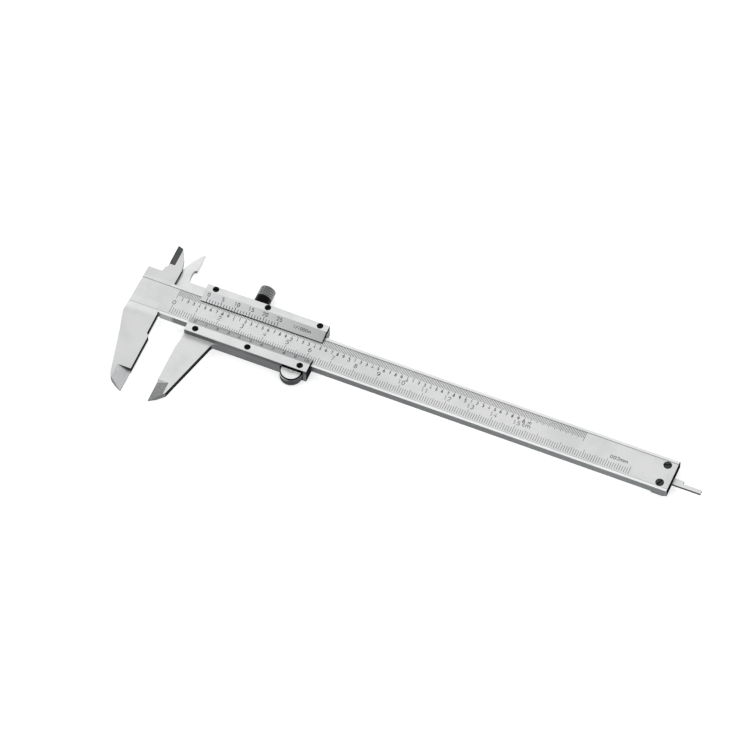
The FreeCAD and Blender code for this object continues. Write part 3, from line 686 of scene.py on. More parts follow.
def merged(name, meshes):
    """One object made of several meshes that share their materials."""
    made = link(name, bpy.data.meshes.new(name))
    work = bmesh.new()
    for mesh in meshes:
        work.from_mesh(mesh)
    work.to_mesh(made.data)
    work.free()
    for material in meshes[0].materials:
        made.data.materials.append(material)
    return made


def finish_piece(made, body, replaced=()):
    """The piece rides on a body and stands for the replaced nodes."""
    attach(made, body)
    if replaced:
        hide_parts(*replaced)


def smooth(mesh, angle):
    """Smooth shading, with edges over the angle in degrees kept sharp."""
    mesh.shade_smooth()
    mesh.set_sharp_from_angle(angle=math.radians(angle))


def geometry_tree(name, inputs):
    """A new geometry tree with its input and output nodes."""
    tree = bpy.data.node_groups.new(name, "GeometryNodeTree")
    source, result = interface(tree, inputs, [("Geometry", "Geometry")])
    return tree, source, result


def close_tree(tree, geometry, material, result):
    """Ends a geometry tree: instances become mesh and get their material."""
    real = node(tree, "GeometryNodeRealizeInstances", {0: geometry}).outputs[0]
    painted = node(tree, "GeometryNodeSetMaterial", {"Geometry": real, "Material": material}).outputs[0]
    put(tree, result.inputs["Geometry"], painted)


def graduation_tree():
    """A row of lines along X from zero; every nth line is longer. Direction is +1 up or -1 down."""
    tree, source, result = geometry_tree("graduation_row", [
        ("Lines", "Int", 51), ("Pitch", "Float", MM), ("Short", "Float", 1.0), ("Medium", "Float", 1.0),
        ("Long", "Float", 1.0), ("Medium Every", "Int", 5), ("Long Every", "Int", 10),
        ("Width", "Float", 0.1), ("Height", "Float", 0.1), ("Direction", "Float", 1.0),
        ("Material", "Material", None)])
    given = source.outputs
    row = node(tree, "GeometryNodeMeshLine", {"Count": given["Lines"],
                                              "Offset": combine(tree, given["Pitch"], 0.0, 0.0)})
    number = tree.nodes.new("GeometryNodeInputIndex").outputs[0]
    length = given["Short"]
    for every, longer in (("Medium Every", "Medium"), ("Long Every", "Long")):
        left = calc(tree, "MODULO", number, given[every])
        hit = calc(tree, "LESS_THAN", left, 0.5)
        switch = tree.nodes.new("GeometryNodeSwitch")
        switch.input_type = "FLOAT"
        put(tree, switch.inputs["Switch"], hit)
        put(tree, switch.inputs["False"], length)
        put(tree, switch.inputs["True"], given[longer])
        length = switch.outputs[0]
    bar = node(tree, "GeometryNodeMeshCube", {"Size": (1.0, 1.0, 1.0)}).outputs[0]
    shift = combine(tree, 0.0, calc(tree, "MULTIPLY", given["Direction"], 0.5), 0.0)
    bar = node(tree, "GeometryNodeTransform", {"Geometry": bar, "Translation": shift}).outputs[0]
    size = combine(tree, given["Width"], length, calc(tree, "MULTIPLY", given["Height"], 2.0))
    lines = node(tree, "GeometryNodeInstanceOnPoints", {"Points": row.outputs[0], "Instance": bar,
                                                        "Scale": size}).outputs[0]
    close_tree(tree, lines, given["Material"], result)
    return tree


def graduation_row(tree, place, **values):
    """The mesh of one row, put in its place by a matrix."""
    maker = link("row_maker", bpy.data.meshes.new("row_maker"))
    mesh = grown(maker, tree, values)
    mesh.transform(place)
    bpy.data.objects.remove(maker)
    return mesh


def on_scale(x, y):
    """A place on the graduated face of the beam."""
    return Matrix.Translation((x, y, SCALE_Z))


def on_upper_bevel(x, up):
    """A place on the bevel of the inch plate; up is measured on the slope from its thin edge."""
    edge = Vector((x, UPPER_LOW.y, UPPER_LOW.z + PLATE_EDGE))
    return Matrix.Translation(edge) @ Matrix.Rotation(UPPER_SLOPE, 4, "X") @ Matrix.Translation((0, up, 0))


def on_lower_bevel(x, up):
    """A place on the bevel of the metric plate; up is negative, away from its thin edge."""
    edge = Vector((x, LOWER_HIGH.y, LOWER_LOW.z + PLATE_EDGE))
    return Matrix.Translation(edge) @ Matrix.Rotation(-LOWER_SLOPE, 4, "X") @ Matrix.Translation((0, up, 0))


# Single-stroke lettering, as an engraving machine cuts it, in a box 0.6 wide and 1 high

def arc(x, y, radius_x, radius_y, start, end, steps=9):
    """Points on an ellipse from one angle to another, in degrees."""
    turn = (end - start) / (steps - 1)
    angles = [math.radians(start + turn * i) for i in range(steps)]
    return [(x + radius_x * math.cos(a), y + radius_y * math.sin(a)) for a in angles]


def glyphs():
    """Strokes of each sign; a stroke is a list of points."""
    ring = arc(0.3, 0.5, 0.3, 0.5, 90, 450, 17)
    return {
        "0": [ring],
        "1": [[(0.14, 0.8), (0.34, 1.0), (0.34, 0.0)]],
        "2": [arc(0.3, 0.7, 0.3, 0.3, 165, -38) + [(0.0, 0.0), (0.62, 0.0)]],
        "3": [arc(0.29, 0.76, 0.26, 0.24, 150, -80) + arc(0.29, 0.26, 0.31, 0.27, 80, -150)],
        "4": [[(0.64, 0.27), (0.0, 0.27), (0.44, 1.0), (0.44, 0.0)]],
        "5": [[(0.56, 1.0), (0.12, 1.0), (0.07, 0.56)] + arc(0.28, 0.32, 0.32, 0.32, 125, -140)],
        "6": [arc(0.5, 0.42, 0.5, 0.58, 100, 175, 6) + arc(0.31, 0.3, 0.3, 0.3, 180, 530, 14)],
        "7": [[(0.0, 1.0), (0.6, 1.0), (0.22, 0.0)]],
        "8": [arc(0.3, 0.76, 0.24, 0.24, -90, 270, 13), arc(0.3, 0.26, 0.3, 0.26, 90, 450, 13)],
        "9": [arc(0.1, 0.58, 0.5, 0.58, -80, -5, 6) + arc(0.29, 0.7, 0.3, 0.3, 0, 350, 14)],
        "c": [arc(0.28, 0.34, 0.27, 0.34, 45, 315)],
        "m": [[(0.0, 0.0), (0.0, 0.68)], arc(0.23, 0.46, 0.23, 0.22, 180, 0, 6) + [(0.46, 0.0)],
              arc(0.69, 0.46, 0.23, 0.22, 180, 0, 6) + [(0.92, 0.0)]],
        "i": [[(0.06, 0.0), (0.06, 0.66)], [(0.06, 0.9), (0.06, 0.96)]],
        "n": [[(0.0, 0.0), (0.0, 0.68)], arc(0.22, 0.44, 0.22, 0.24, 180, 0, 6) + [(0.44, 0.0)]],
        ".": [[(-0.12, 0.0), (-0.12, 0.06)]],
        "/": [[(0.0, -0.05), (0.42, 1.05)]],
    }


GLYPHS = glyphs()
WIDTHS = {"m": 0.92, "i": 0.12, "n": 0.44, ".": -0.25, "/": 0.42, "c": 0.5}
LETTER_GAP = 0.3


def text_width(text):
    """Width of a text 1 high."""
    return sum(WIDTHS.get(sign, 0.6) for sign in text) + LETTER_GAP * (len(text) - 1)


def engraved_text(texts, place, stroke, height_above, material):
    """A mesh of half-sunk strokes; texts are (text, middle x, middle y, height)."""
    curve = bpy.data.curves.new("strokes", "CURVE")
    curve.dimensions = "3D"
    curve.bevel_depth = stroke / 2
    curve.bevel_resolution = 1
    curve.use_fill_caps = True
    for text, middle_x, middle_y, height in texts:
        left = middle_x - text_width(text) * height / 2
        for sign in text:
            for points in GLYPHS[sign]:
                spline = curve.splines.new("POLY")
                spline.points.add(len(points) - 1)
                for target, (x, y) in zip(spline.points, points):
                    target.co = (left + x * height, middle_y + (y - 0.5) * height, 0.0, 1.0)
            left += (WIDTHS.get(sign, 0.6) + LETTER_GAP) * height
    maker = link("text_maker", curve)
    evaluated = maker.evaluated_get(bpy.context.evaluated_depsgraph_get())
    mesh = bpy.data.meshes.new_from_object(evaluated)
    bpy.data.objects.remove(maker)
    flatten = Matrix.Diagonal((1.0, 1.0, height_above / (stroke / 2), 1.0))
    mesh.transform(place @ flatten)
    mesh.materials.clear()
    mesh.materials.append(material)
    return mesh


def lathe(profile, segments=64):
    """A closed solid turned about Z from (radius, z) points; the first and last lie on the axis."""
    work = bmesh.new()
    rings = []
    for radius, z in profile:
        if radius < 1e-9:
            rings.append([work.verts.new((0, 0, z))])
            continue
        turns = [2 * math.pi * i / segments for i in range(segments)]
        rings.append([work.verts.new((radius * math.cos(t), radius * math.sin(t), z)) for t in turns])
    for low, high in zip(rings, rings[1:]):
        for i in range(segments):
            j = (i + 1) % segments
            corners = [low[i % len(low)], low[j % len(low)], high[j % len(high)], high[i % len(high)]]
            kept = list(dict.fromkeys(corners))
            if len(kept) > 2:
                work.faces.new(kept)
    bmesh.ops.recalc_face_normals(work, faces=work.faces)
    mesh = bpy.data.meshes.new("turned")
    work.to_mesh(mesh)
    work.free()
    return mesh


def thread(radius, depth, pitch, length, segments=24, steps=6):
    """A helical thread about Z, closed at both ends."""
    work = bmesh.new()
    rings = []
    count = int(length / pitch * steps)
    for k in range(count + 1):
        z = length * k / count
        ring = []
        for i in range(segments):
            turn = i / segments
            phase = (z / pitch - turn) % 1.0
            here = radius - depth * abs(2 * phase - 1)
            angle = 2 * math.pi * turn
            ring.append(work.verts.new((here * math.cos(angle), here * math.sin(angle), z)))
        rings.append(ring)
    for low, high in zip(rings, rings[1:]):
        for i in range(segments):
            j = (i + 1) % segments
            work.faces.new((low[i], low[j], high[j], high[i]))
    work.faces.new(list(reversed(rings[0])))
    work.faces.new(rings[-1])
    mesh = bpy.data.meshes.new("thread")
    work.to_mesh(mesh)
    work.free()
    return mesh


def knurl_tree():
    """Diamond points in staggered rows round Z, each row a step further along it."""
    tree, source, result = geometry_tree("diamond_knurl", [
        ("Around", "Int", 26), ("Rows", "Int", 9), ("Radius", "Float", 1.0), ("Step", "Float", 1.0),
        ("Point Radius", "Float", 1.0), ("Point Height", "Float", 1.0), ("Material", "Material", None)])
    given = source.outputs
    total = calc(tree, "MULTIPLY", given["Around"], given["Rows"])
    number = tree.nodes.new("GeometryNodeInputIndex").outputs[0]
    row = calc(tree, "FLOOR", calc(tree, "DIVIDE", number, given["Around"]))
    stagger = calc(tree, "MULTIPLY", calc(tree, "MODULO", row, 2.0), 0.5)
    share = calc(tree, "DIVIDE", calc(tree, "ADD", number, stagger), given["Around"])
    angle = calc(tree, "MULTIPLY", share, 2 * math.pi)
    along = calc(tree, "MULTIPLY", row, given["Step"])
    position = combine(tree, calc(tree, "MULTIPLY", calc(tree, "COSINE", angle), given["Radius"]),
                       calc(tree, "MULTIPLY", calc(tree, "SINE", angle), given["Radius"]), along)
    points = node(tree, "GeometryNodePoints", {"Count": total, "Position": position}).outputs[0]
    cone = node(tree, "GeometryNodeMeshCone", {"Vertices": 4, "Radius Top": calc(
        tree, "MULTIPLY", given["Point Radius"], 0.22), "Radius Bottom": given["Point Radius"],
        "Depth": given["Point Height"]}).outputs[0]
    turned = combine(tree, 0.0, math.pi / 2, angle)
    studs = node(tree, "GeometryNodeInstanceOnPoints", {"Points": points, "Instance": cone,
                                                        "Rotation": turned}).outputs[0]
    close_tree(tree, studs, given["Material"], result)
    return tree


def rib_tree():
    """Straight V ribs round Z, from square bars on edge, half sunk."""
    tree, source, result = geometry_tree("straight_ribs", [
        ("Ribs", "Int", 72), ("Radius", "Float", 1.0), ("Rib Width", "Float", 1.0),
        ("Length", "Float", 1.0), ("Material", "Material", None)])
    given = source.outputs
    number = tree.nodes.new("GeometryNodeInputIndex").outputs[0]
    angle = calc(tree, "MULTIPLY", calc(tree, "DIVIDE", number, given["Ribs"]), 2 * math.pi)
    position = combine(tree, calc(tree, "MULTIPLY", calc(tree, "COSINE", angle), given["Radius"]),
                       calc(tree, "MULTIPLY", calc(tree, "SINE", angle), given["Radius"]), 0.0)
    points = node(tree, "GeometryNodePoints", {"Count": given["Ribs"], "Position": position}).outputs[0]
    side = calc(tree, "DIVIDE", given["Rib Width"], math.sqrt(2))
    bar = node(tree, "GeometryNodeMeshCube", {"Size": combine(tree, side, side, given["Length"])})
    bar = node(tree, "GeometryNodeTransform", {"Geometry": bar.outputs[0],
                                               "Rotation": (0.0, 0.0, math.pi / 4)}).outputs[0]
    turned = combine(tree, 0.0, 0.0, angle)
    ribs = node(tree, "GeometryNodeInstanceOnPoints", {"Points": points, "Instance": bar,
                                                       "Rotation": turned}).outputs[0]
    close_tree(tree, ribs, given["Material"], result)
    return tree


def screw_tree():
    """Slotted screw heads on the points of a mesh; each point's slot_turn turns its slot."""
    tree, source, result = geometry_tree("slotted_screws", [
        ("Geometry", "Geometry", None), ("Head Radius", "Float", 1.0), ("Head Height", "Float", 1.0),
        ("Crown", "Float", 1.0), ("Slot Width", "Float", 1.0), ("Slot Depth", "Float", 1.0),
        ("Material", "Material", None)])
    given = source.outputs
    crown = given["Crown"]
    cheek = calc(tree, "SUBTRACT", given["Head Height"], crown)
    drum = node(tree, "GeometryNodeMeshCylinder", {"Vertices": 32, "Radius": given["Head Radius"],
                                                   "Depth": cheek}).outputs[0]
    middle = calc(tree, "SUBTRACT", calc(tree, "MULTIPLY", cheek, -0.5), crown)
    drum = node(tree, "GeometryNodeTransform", {"Geometry": drum,
                                                "Translation": combine(tree, 0.0, 0.0, middle)}).outputs[0]
    top = calc(tree, "SUBTRACT", given["Head Radius"], calc(tree, "MULTIPLY", crown, 1.6))
    cone = node(tree, "GeometryNodeMeshCone", {"Vertices": 32, "Radius Top": top,
                                               "Radius Bottom": given["Head Radius"],
                                               "Depth": crown}).outputs[0]
    cone = node(tree, "GeometryNodeTransform", {
        "Geometry": cone,
        "Translation": combine(tree, 0.0, 0.0, calc(tree, "MULTIPLY", crown, -1.0))}).outputs[0]
    union = tree.nodes.new("GeometryNodeMeshBoolean")
    union.operation = "UNION"
    tree.links.new(drum, union.inputs["Mesh 2"])
    tree.links.new(cone, union.inputs["Mesh 2"])
    length = calc(tree, "MULTIPLY", given["Head Radius"], 3.0)
    slot = node(tree, "GeometryNodeMeshCube", {"Size": combine(
        tree, length, given["Slot Width"], calc(tree, "MULTIPLY", given["Slot Depth"], 2.0))}).outputs[0]
    cut = node(tree, "GeometryNodeMeshBoolean", {"Mesh 1": union.outputs[0], "Mesh 2": slot},
               operation="DIFFERENCE")
    turn = node(tree, "GeometryNodeInputNamedAttribute", {"Name": "slot_turn"}, data_type="FLOAT")
    heads = node(tree, "GeometryNodeInstanceOnPoints", {
        "Points": given["Geometry"], "Instance": cut.outputs[0],
        "Rotation": combine(tree, 0.0, 0.0, turn.outputs[0])}).outputs[0]
    close_tree(tree, heads, given["Material"], result)
    return tree


def seen_directly(tree):
    """1 where the camera sees a surface itself, in a reflection or through glass."""
    path = tree.nodes.new("ShaderNodeLightPath").outputs
    direct = calc(tree, "MAXIMUM", path["Is Camera Ray"], path["Is Glossy Ray"])
    return calc(tree, "MAXIMUM", direct, path["Is Transmission Ray"])


# Operators

class CaliperFinishes(bpy.types.Operator):
    """Make the finishes and give them to the steel pieces"""
    bl_idname = "caliper.finishes"
    bl_label = "Steel finishes"

    def execute(self, context):
        colours = context.scene.caliper_colours
        ground_grain_group()
        handling_group()
        frosted_group()
        facing_group()
        roller = (ROLLER_LOW + ROLLER_HIGH) / 2
        beam = satin_beam("satin_beam", colours)
        slider = satin_slider("satin_slider", colours)
        black = black_oxide("black_oxide", colours)
        knurled_black("knurled_black", colours)
        bright = bright_steel("bright_turned", colours, roller, (ROLLER_HIGH.x - ROLLER_LOW.x) / 2)
        mark_filling("mark_filling", colours)
        finishes = {
            "main_beam": beam,
            "end_stop_plate": slider,
            "slider_frame": slider,
            "gib_strip": slider,
            "depth_rod": slider,
            # The plates' tones paint in light and shade: each bevel's tone at its left and right ends and
            # the tone of its sides
            "inch_vernier_plate": vernier_steel("inch_plate_steel", colours, 1.12, 0.8, UPPER_LOW.y, 1.0),
            "metric_vernier_plate": vernier_steel("metric_plate_steel", colours, 0.79, 0.79,
                                                  LOWER_HIGH.y, 1.2),
            "roller_pin": bright,
            "depth_rod_rivet_1": bright,
            "depth_rod_rivet_2": bright,
        }
        for name, made in frame["nodes"].items():
            made.data.materials.clear()
            made.data.materials.append(finishes.get(name, black))
        return {"FINISHED"}


class CaliperMainGraduations(bpy.types.Operator):
    """Engrave the millimetre and inch graduations of the beam"""
    bl_idname = "caliper.main_graduations"
    bl_label = "Beam graduations"

    def execute(self, context):
        sizes = context.scene.caliper_scales
        tree = graduation_tree()
        ink = bpy.data.materials["mark_filling"]
        common = {"Width": sizes.line_width, "Height": sizes.ink_height, "Material": ink}
        metric = graduation_row(tree, on_scale(ZERO_X, METRIC_ROW_Y), Lines=201, Pitch=MM,
                                Short=2.8 * MM, Medium=3.3 * MM, Long=3.8 * MM,
                                **{"Medium Every": 5, "Long Every": 10, "Direction": 1.0}, **common)
        inch = graduation_row(tree, on_scale(ZERO_X, INCH_ROW_Y), Lines=281, Pitch=INCH / 40,
                              Short=3.0 * MM, Medium=3.7 * MM, Long=4.4 * MM,
                              **{"Medium Every": 4, "Long Every": 40, "Direction": -1.0}, **common)
        made = merged("beam_graduations", [metric, inch])
        finish_piece(made, "beam")
        return {"FINISHED"}


class CaliperVernierGraduations(bpy.types.Operator):
    """Engrave the 0.02 mm and 1/1000 in verniers on the bevels of the plates"""
    bl_idname = "caliper.vernier_graduations"
    bl_label = "Vernier graduations"

    def execute(self, context):
        sizes = context.scene.caliper_scales
        tree = bpy.data.node_groups["graduation_row"]
        ink = bpy.data.materials["mark_filling"]
        common = {"Width": sizes.vernier_line_width, "Height": sizes.ink_height, "Material": ink}
        inch = graduation_row(tree, on_upper_bevel(VERNIER_ZERO_X, 0.12 * MM), Lines=26,
                              Pitch=49 / 40 * INCH / 25, Short=1.45 * MM, Medium=2.0 * MM, Long=2.0 * MM,
                              **{"Medium Every": 5, "Long Every": 25, "Direction": 1.0}, **common)
        metric = graduation_row(tree, on_lower_bevel(VERNIER_ZERO_X, -0.06 * MM), Lines=51,
                                Pitch=0.98 * MM, Short=0.9 * MM, Medium=1.25 * MM, Long=1.25 * MM,
                                **{"Medium Every": 5, "Long Every": 10, "Direction": -1.0}, **common)
        made = merged("vernier_graduations", [inch, metric])
        finish_piece(made, "slider")
        return {"FINISHED"}


class CaliperMainNumbers(bpy.types.Operator):
    """Engrave the numbers and units of the beam"""
    bl_idname = "caliper.main_numbers"
    bl_label = "Beam numbers"

    def execute(self, context):
        sizes = context.scene.caliper_scales
        # Each text has its distance along the scale from zero and its height above the beam's centre
        texts = [(str(i), i * 10 * MM, -0.3 * MM, sizes.centimetre_height) for i in range(16)]
        texts += [("cm", 154.2 * MM, 0.0, 1.8 * MM), ("0.02mm", 194.3 * MM, -0.45 * MM, 1.5 * MM),
                  ("in", 154.9 * MM, 1.7 * MM, 1.4 * MM)]
        tenths = [(str(tenth), (i + tenth / 10) * INCH, 1.95 * MM, sizes.tenth_height)
                  for i in range(6) for tenth in range(1, 10)]
        tenths += [(str(i), i * INCH + 0.1 * MM, 1.4 * MM, sizes.inch_height) for i in range(1, 7)]
        ink = bpy.data.materials["mark_filling"]
        face = on_scale(ZERO_X, 0.0)
        made = merged("beam_numbers", [
            engraved_text(texts, face, sizes.stroke_width, sizes.ink_height, ink),
            engraved_text(tenths, face, sizes.tenth_stroke, sizes.ink_height, ink)])
        finish_piece(made, "beam")
        return {"FINISHED"}


class CaliperVernierNumbers(bpy.types.Operator):
    """Engrave the numbers of both verniers"""
    bl_idname = "caliper.vernier_numbers"
    bl_label = "Vernier numbers"

    def execute(self, context):
        sizes = context.scene.caliper_scales
        ink = bpy.data.materials["mark_filling"]
        division = 49 / 40 * INCH / 25
        inch = [(str(5 * i), 5 * i * division, 0.0, 1.5 * MM) for i in range(6)]
        unit = [("1/1000in", 41.35 * MM, -0.75 * MM, 1.25 * MM)]
        metric = [(str(i), 4.9 * MM * i, 0.0, 1.5 * MM) for i in range(11)]
        upper = on_upper_bevel(VERNIER_ZERO_X, 3.35 * MM)
        lower = on_lower_bevel(VERNIER_ZERO_X, -2.3 * MM)
        made = merged("vernier_numbers", [
            engraved_text(inch, upper, sizes.tenth_stroke, sizes.ink_height, ink),
            engraved_text(unit, upper, sizes.stroke_width * 0.95, sizes.ink_height, ink),
            engraved_text(metric, lower, sizes.tenth_stroke, sizes.ink_height, ink)])
        finish_piece(made, "slider")
        return {"FINISHED"}


class CaliperLockScrew(bpy.types.Operator):
    """Make the knurled lock screw with its thread"""
    bl_idname = "caliper.lock_screw"
    bl_label = "Lock screw"

    def execute(self, context):
        sizes = context.scene.caliper_fittings
        black = bpy.data.materials["knurled_black"]
        centre = (LOCK_LOW + LOCK_HIGH) / 2
        outer = (LOCK_HIGH.x - LOCK_LOW.x) / 2
        end = LOCK_HIGH.y - LOCK_LOW.y
        start = end - LOCK_HEAD_LENGTH
        knurl_start = end - KNURL_LENGTH
        point_height = 0.26 * MM
        base = outer - point_height
        head = lathe([(0.0, start), (outer - 0.45 * MM, start), (outer - 0.15 * MM, start + 0.3 * MM),
                      (outer - 0.1 * MM, start + 0.5 * MM), (outer - 0.1 * MM, knurl_start - 0.35 * MM),
                      (outer - 0.3 * MM, knurl_start - 0.2 * MM), (outer - 0.5 * MM, knurl_start - 0.1 * MM),
                      (outer - 0.5 * MM, knurl_start + 0.05 * MM), (base, knurl_start + 0.3 * MM),
                      (base, end - 0.7 * MM), (outer - 0.45 * MM, end - 0.55 * MM),
                      (outer - 0.75 * MM, end - 0.25 * MM), (outer - 1.25 * MM, end - 0.06 * MM),
                      (outer - 1.8 * MM, end), (1.0 * MM, end), (0.85 * MM, end - 0.12 * MM),
                      (0.0, end - 0.2 * MM)])
        smooth(head, 40)
        head.materials.append(black)
        rows = sizes.knurl_rows
        around = sizes.knurl_around
        point_radius = math.pi * base / around
        room = KNURL_LENGTH - 1.0 * MM - point_radius
        step = room / (rows - 1)
        maker = link("knurl_maker", bpy.data.meshes.new("knurl_maker"))
        knurl = grown(maker, knurl_tree(), {
            "Around": around, "Rows": rows, "Radius": base - 0.03 * MM, "Step": step,
            "Point Radius": point_radius * 1.12, "Point Height": point_height + 0.03 * MM,
            "Material": black})
        bpy.data.objects.remove(maker)
        knurl.transform(Matrix.Translation((0, 0, knurl_start + 0.35 * MM + point_radius / 2)))
        shank = thread((1.25 - 0.01) * MM, 0.2 * MM, sizes.thread_pitch, start + 0.1 * MM)
        shank.materials.append(black)
        made = merged("knurled_lock_screw", [head, knurl, shank])
        upright = Matrix.Rotation(-math.pi / 2, 4, "X")
        made.data.transform(Matrix.Translation((centre.x, LOCK_LOW.y, centre.z)) @ upright)
        finish_piece(made, "lock", ["lock_screw"])
        return {"FINISHED"}


class CaliperThumbRoller(bpy.types.Operator):
    """Make the ribbed thumb roller with its turned faces"""
    bl_idname = "caliper.thumb_roller"
    bl_label = "Thumb roller"

    def execute(self, context):
        sizes = context.scene.caliper_fittings
        bright = bpy.data.materials["bright_turned"]
        centre = (ROLLER_LOW + ROLLER_HIGH) / 2
        outer = (ROLLER_HIGH.y - ROLLER_LOW.y) / 2
        thick = ROLLER_HIGH.z - ROLLER_LOW.z
        rib_width = 2 * math.pi * outer / sizes.roller_ribs * 0.98
        base = outer - 0.12 * MM
        bore = 1.06 * MM
        half = thick / 2
        under = 0.1 * MM
        side = [(bore, -half), (bore + 0.8 * MM, -half), (bore + 0.9 * MM, -half + under),
                (outer - 1.2 * MM, -half + under), (outer - 1.1 * MM, -half), (base - under, -half),
                (base, -half + under)]
        crown = 0.7 * MM
        top = [(base, half - crown), (outer - 0.05 * MM, half - crown + 0.05 * MM),
               (outer - 0.25 * MM, half - 0.06 * MM), (outer - 0.31 * MM, half), (bore + 0.9 * MM, half),
               (bore + 0.8 * MM, half - 0.12 * MM), (bore, half - 0.12 * MM)]
        body = lathe(side + top + [side[0]], 96)
        smooth(body, 30)
        body.materials.append(bright)
        maker = link("rib_maker", bpy.data.meshes.new("rib_maker"))
        ribs = grown(maker, rib_tree(), {"Ribs": sizes.roller_ribs, "Radius": outer - rib_width / 2,
                                         "Rib Width": rib_width, "Length": thick - crown - under,
                                         "Material": bright})
        bpy.data.objects.remove(maker)
        ribs.transform(Matrix.Translation((0, 0, (under - crown) / 2)))
        made = merged("ribbed_thumb_roller", [body, ribs])
        made.data.transform(Matrix.Translation(centre))
        finish_piece(made, "roller", ["thumb_roller"])
        return {"FINISHED"}


class CaliperScrews(bpy.types.Operator):
    """Put slotted black screws in the plates and in the end of the beam"""
    bl_idname = "caliper.screws"
    bl_label = "Slotted screws"

    def execute(self, context):
        sizes = context.scene.caliper_fittings
        tree = screw_tree()
        black = bpy.data.materials["black_oxide"]
        plate_nodes = [f"{row}_plate_screw_{i}" for row in ("upper", "lower") for i in (1, 2, 3)]
        end_nodes = ["end_plate_screw_1", "end_plate_screw_2"]
        for name, body, nodes, height in (("plate_screws", "slider", plate_nodes, PLATE_SCREW_HEAD),
                                          ("end_screws", "beam", end_nodes, END_SCREW_HEAD)):
            boxes = [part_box(item) for item in nodes]
            places = [((low.x + high.x) / 2, (low.y + high.y) / 2, high.z) for low, high in boxes]
            mesh = bpy.data.meshes.new(name)
            mesh.from_pydata(places, [], [])
            turns = mesh.attributes.new("slot_turn", "FLOAT", "POINT")
            for i in range(len(places)):
                turns.data[i].value = math.radians(20 + 47 * i)
            low, high = boxes[0]
            maker = link(name + "_maker", mesh)
            heads = grown(maker, tree, {
                "Head Radius": (high.x - low.x) / 2, "Head Height": height, "Crown": 0.16 * MM,
                "Slot Width": sizes.slot_width, "Slot Depth": sizes.slot_depth, "Material": black})
            bpy.data.objects.remove(maker)
            smooth(heads, 30)
            finish_piece(merged(name, [heads]), body, nodes)
        return {"FINISHED"}


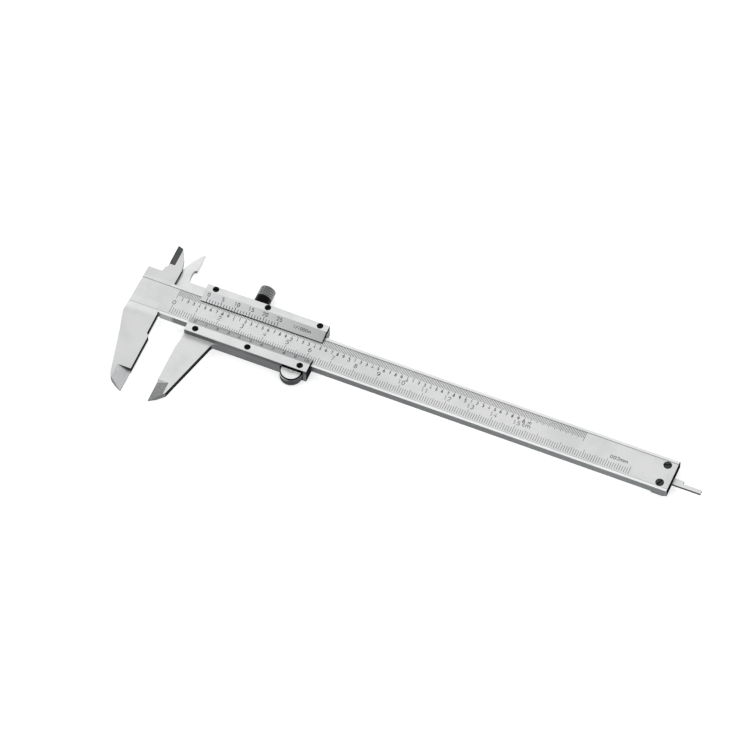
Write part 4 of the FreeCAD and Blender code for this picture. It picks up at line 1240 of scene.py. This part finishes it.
class CaliperStage(bpy.types.Operator):
    """Set the floor, the lights and the camera of the photographed view"""
    bl_idname = "caliper.stage"
    bl_label = "Studio stage"

    def execute(self, context):
        levels = context.scene.caliper_stage
        self.floor(levels)
        self.sky(context, levels)
        target = Vector((0, 0, 0))
        self.softbox("back_softbox", Vector((-0.5, 1.18, 1.92)), target, (1.9, 1.3), levels.back_power)
        self.softbox("front_softbox", Vector((-1.5, -1.3, 1.5)), target, (1.0, 1.0), levels.front_power)
        self.camera(context)
        context.scene.view_settings.view_transform = "Standard"
        return {"FINISHED"}

    def floor(self, levels):
        """A wide pale floor that looks white to the camera and keeps the object's shadow."""
        half = 6.0
        mesh = bpy.data.meshes.new("floor")
        mesh.from_pydata([(-half, -half, 0), (half, -half, 0), (half, half, 0), (-half, half, 0)], [],
                         [(0, 1, 2, 3)])
        floor = link("floor", mesh)
        floor.location.z = -0.02 * MM
        material, tree, shader = new_material("pale_floor")
        place = object_place(tree)[0]
        mottle = node(tree, "ShaderNodeTexNoise", {"Vector": place, "Scale": 40.0, "Detail": 4.0}).outputs[0]
        pale = blend(tree, mottle, levels.floor, shade(levels.floor, 0.98))
        put(tree, shader.inputs["Base Color"], pale)
        shader.inputs["Roughness"].default_value = 0.9
        shader.inputs["Specular IOR Level"].default_value = 0.0
        glow = node(tree, "ShaderNodeEmission", {"Strength": 0.5})
        seen = seen_directly(tree)
        both = tree.nodes.new("ShaderNodeAddShader")
        tree.links.new(shader.outputs[0], both.inputs[0])
        tree.links.new(glow.outputs[0], both.inputs[1])
        pick = tree.nodes.new("ShaderNodeMixShader")
        tree.links.new(seen, pick.inputs[0])
        tree.links.new(shader.outputs[0], pick.inputs[1])
        tree.links.new(both.outputs[0], pick.inputs[2])
        output = next(n for n in tree.nodes if n.type == "OUTPUT_MATERIAL")
        tree.links.new(pick.outputs[0], output.inputs[0])
        mesh.materials.append(material)

    def sky(self, context, levels):
        """Even light all round, a little weaker near the horizon; white where the camera sees it."""
        world = bpy.data.worlds.new("studio")
        context.scene.world = world
        world.use_nodes = True
        tree = world.node_tree
        tree.nodes.clear()
        direction = tree.nodes.new("ShaderNodeTexCoord").outputs["Generated"]
        up = node(tree, "ShaderNodeSeparateXYZ", {0: direction}).outputs["Z"]
        level = ramp(tree, up, 0.0, 0.8, levels.sky_level * 0.75, levels.sky_level)
        light = node(tree, "ShaderNodeBackground", {"Color": (0.985, 0.99, 1.0, 1.0), "Strength": level})
        white = node(tree, "ShaderNodeBackground", {"Strength": 1.0})
        pick = node(tree, "ShaderNodeMixShader", {0: seen_directly(tree), 1: light.outputs[0],
                                                  2: white.outputs[0]})
        output = tree.nodes.new("ShaderNodeOutputWorld")
        tree.links.new(pick.outputs[0], output.inputs[0])

    def softbox(self, name, place, target, size, power):
        """A rectangular lamp turned to the target."""
        data = bpy.data.lights.new(name, "AREA")
        data.shape = "RECTANGLE"
        data.size, data.size_y = size
        data.energy = power
        lamp = link(name, data)
        lamp.location = place
        lamp.rotation_mode = "QUATERNION"
        lamp.rotation_quaternion = (target - place).to_track_quat("-Z", "Y")

    def camera(self, context):
        """The camera of the photographed view."""
        data = bpy.data.cameras.new("photo_view")
        data.lens = CAMERA_LENS
        data.sensor_width = 36.0
        data.clip_start = 0.05
        camera = link("photo_view", data)
        flat = math.cos(CAMERA_ELEVATION)
        back = Vector((math.sin(CAMERA_AZIMUTH) * flat, -math.cos(CAMERA_AZIMUTH) * flat,
                       math.sin(CAMERA_ELEVATION)))
        camera.location = CAMERA_TARGET + back * CAMERA_DISTANCE
        camera.rotation_mode = "QUATERNION"
        camera.rotation_quaternion = (-back).to_track_quat("-Z", "Y")
        context.scene.camera = camera


class CaliperPanel(bpy.types.Panel):
    """The caliper's operators and sizes"""
    bl_idname = "VIEW3D_PT_caliper"
    bl_label = "Vernier caliper"
    bl_space_type = "VIEW_3D"
    bl_region_type = "UI"
    bl_category = "Caliper"

    def draw(self, context):
        for operator in OPERATORS:
            self.layout.operator(operator.bl_idname)
        for settings in ("caliper_scales", "caliper_fittings", "caliper_colours", "caliper_stage"):
            values = getattr(context.scene, settings)
            box = self.layout.box()
            for name in values.bl_rna.properties.keys():
                if name not in ("rna_type", "name"):
                    box.prop(values, name)


SETTINGS = {
    "caliper_scales": CaliperScaleSizes,
    "caliper_fittings": CaliperFittingSizes,
    "caliper_colours": CaliperColours,
    "caliper_stage": CaliperStageLevels,
}
OPERATORS = (CaliperFinishes, CaliperMainGraduations, CaliperVernierGraduations, CaliperMainNumbers,
             CaliperVernierNumbers, CaliperLockScrew, CaliperThumbRoller, CaliperScrews, CaliperStage)


def register():
    """Registers the classes and gives the scene their settings."""
    for name, settings in SETTINGS.items():
        bpy.utils.register_class(settings)
        setattr(bpy.types.Scene, name, PointerProperty(type=settings))
    for operator in OPERATORS:
        bpy.utils.register_class(operator)
    bpy.utils.register_class(CaliperPanel)


def unregister():
    """Takes the classes and the settings out again."""
    bpy.utils.unregister_class(CaliperPanel)
    for operator in reversed(OPERATORS):
        bpy.utils.unregister_class(operator)
    for name, settings in SETTINGS.items():
        delattr(bpy.types.Scene, name)
        bpy.utils.unregister_class(settings)


def main():
    """Makes every piece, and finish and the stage."""
    register()
    bpy.ops.caliper.finishes()
    bpy.ops.caliper.main_graduations()
    bpy.ops.caliper.vernier_graduations()
    bpy.ops.caliper.main_numbers()
    bpy.ops.caliper.vernier_numbers()
    bpy.ops.caliper.lock_screw()
    bpy.ops.caliper.thumb_roller()
    bpy.ops.caliper.screws()
    bpy.ops.caliper.stage()


if __name__ == "__main__":
    main()
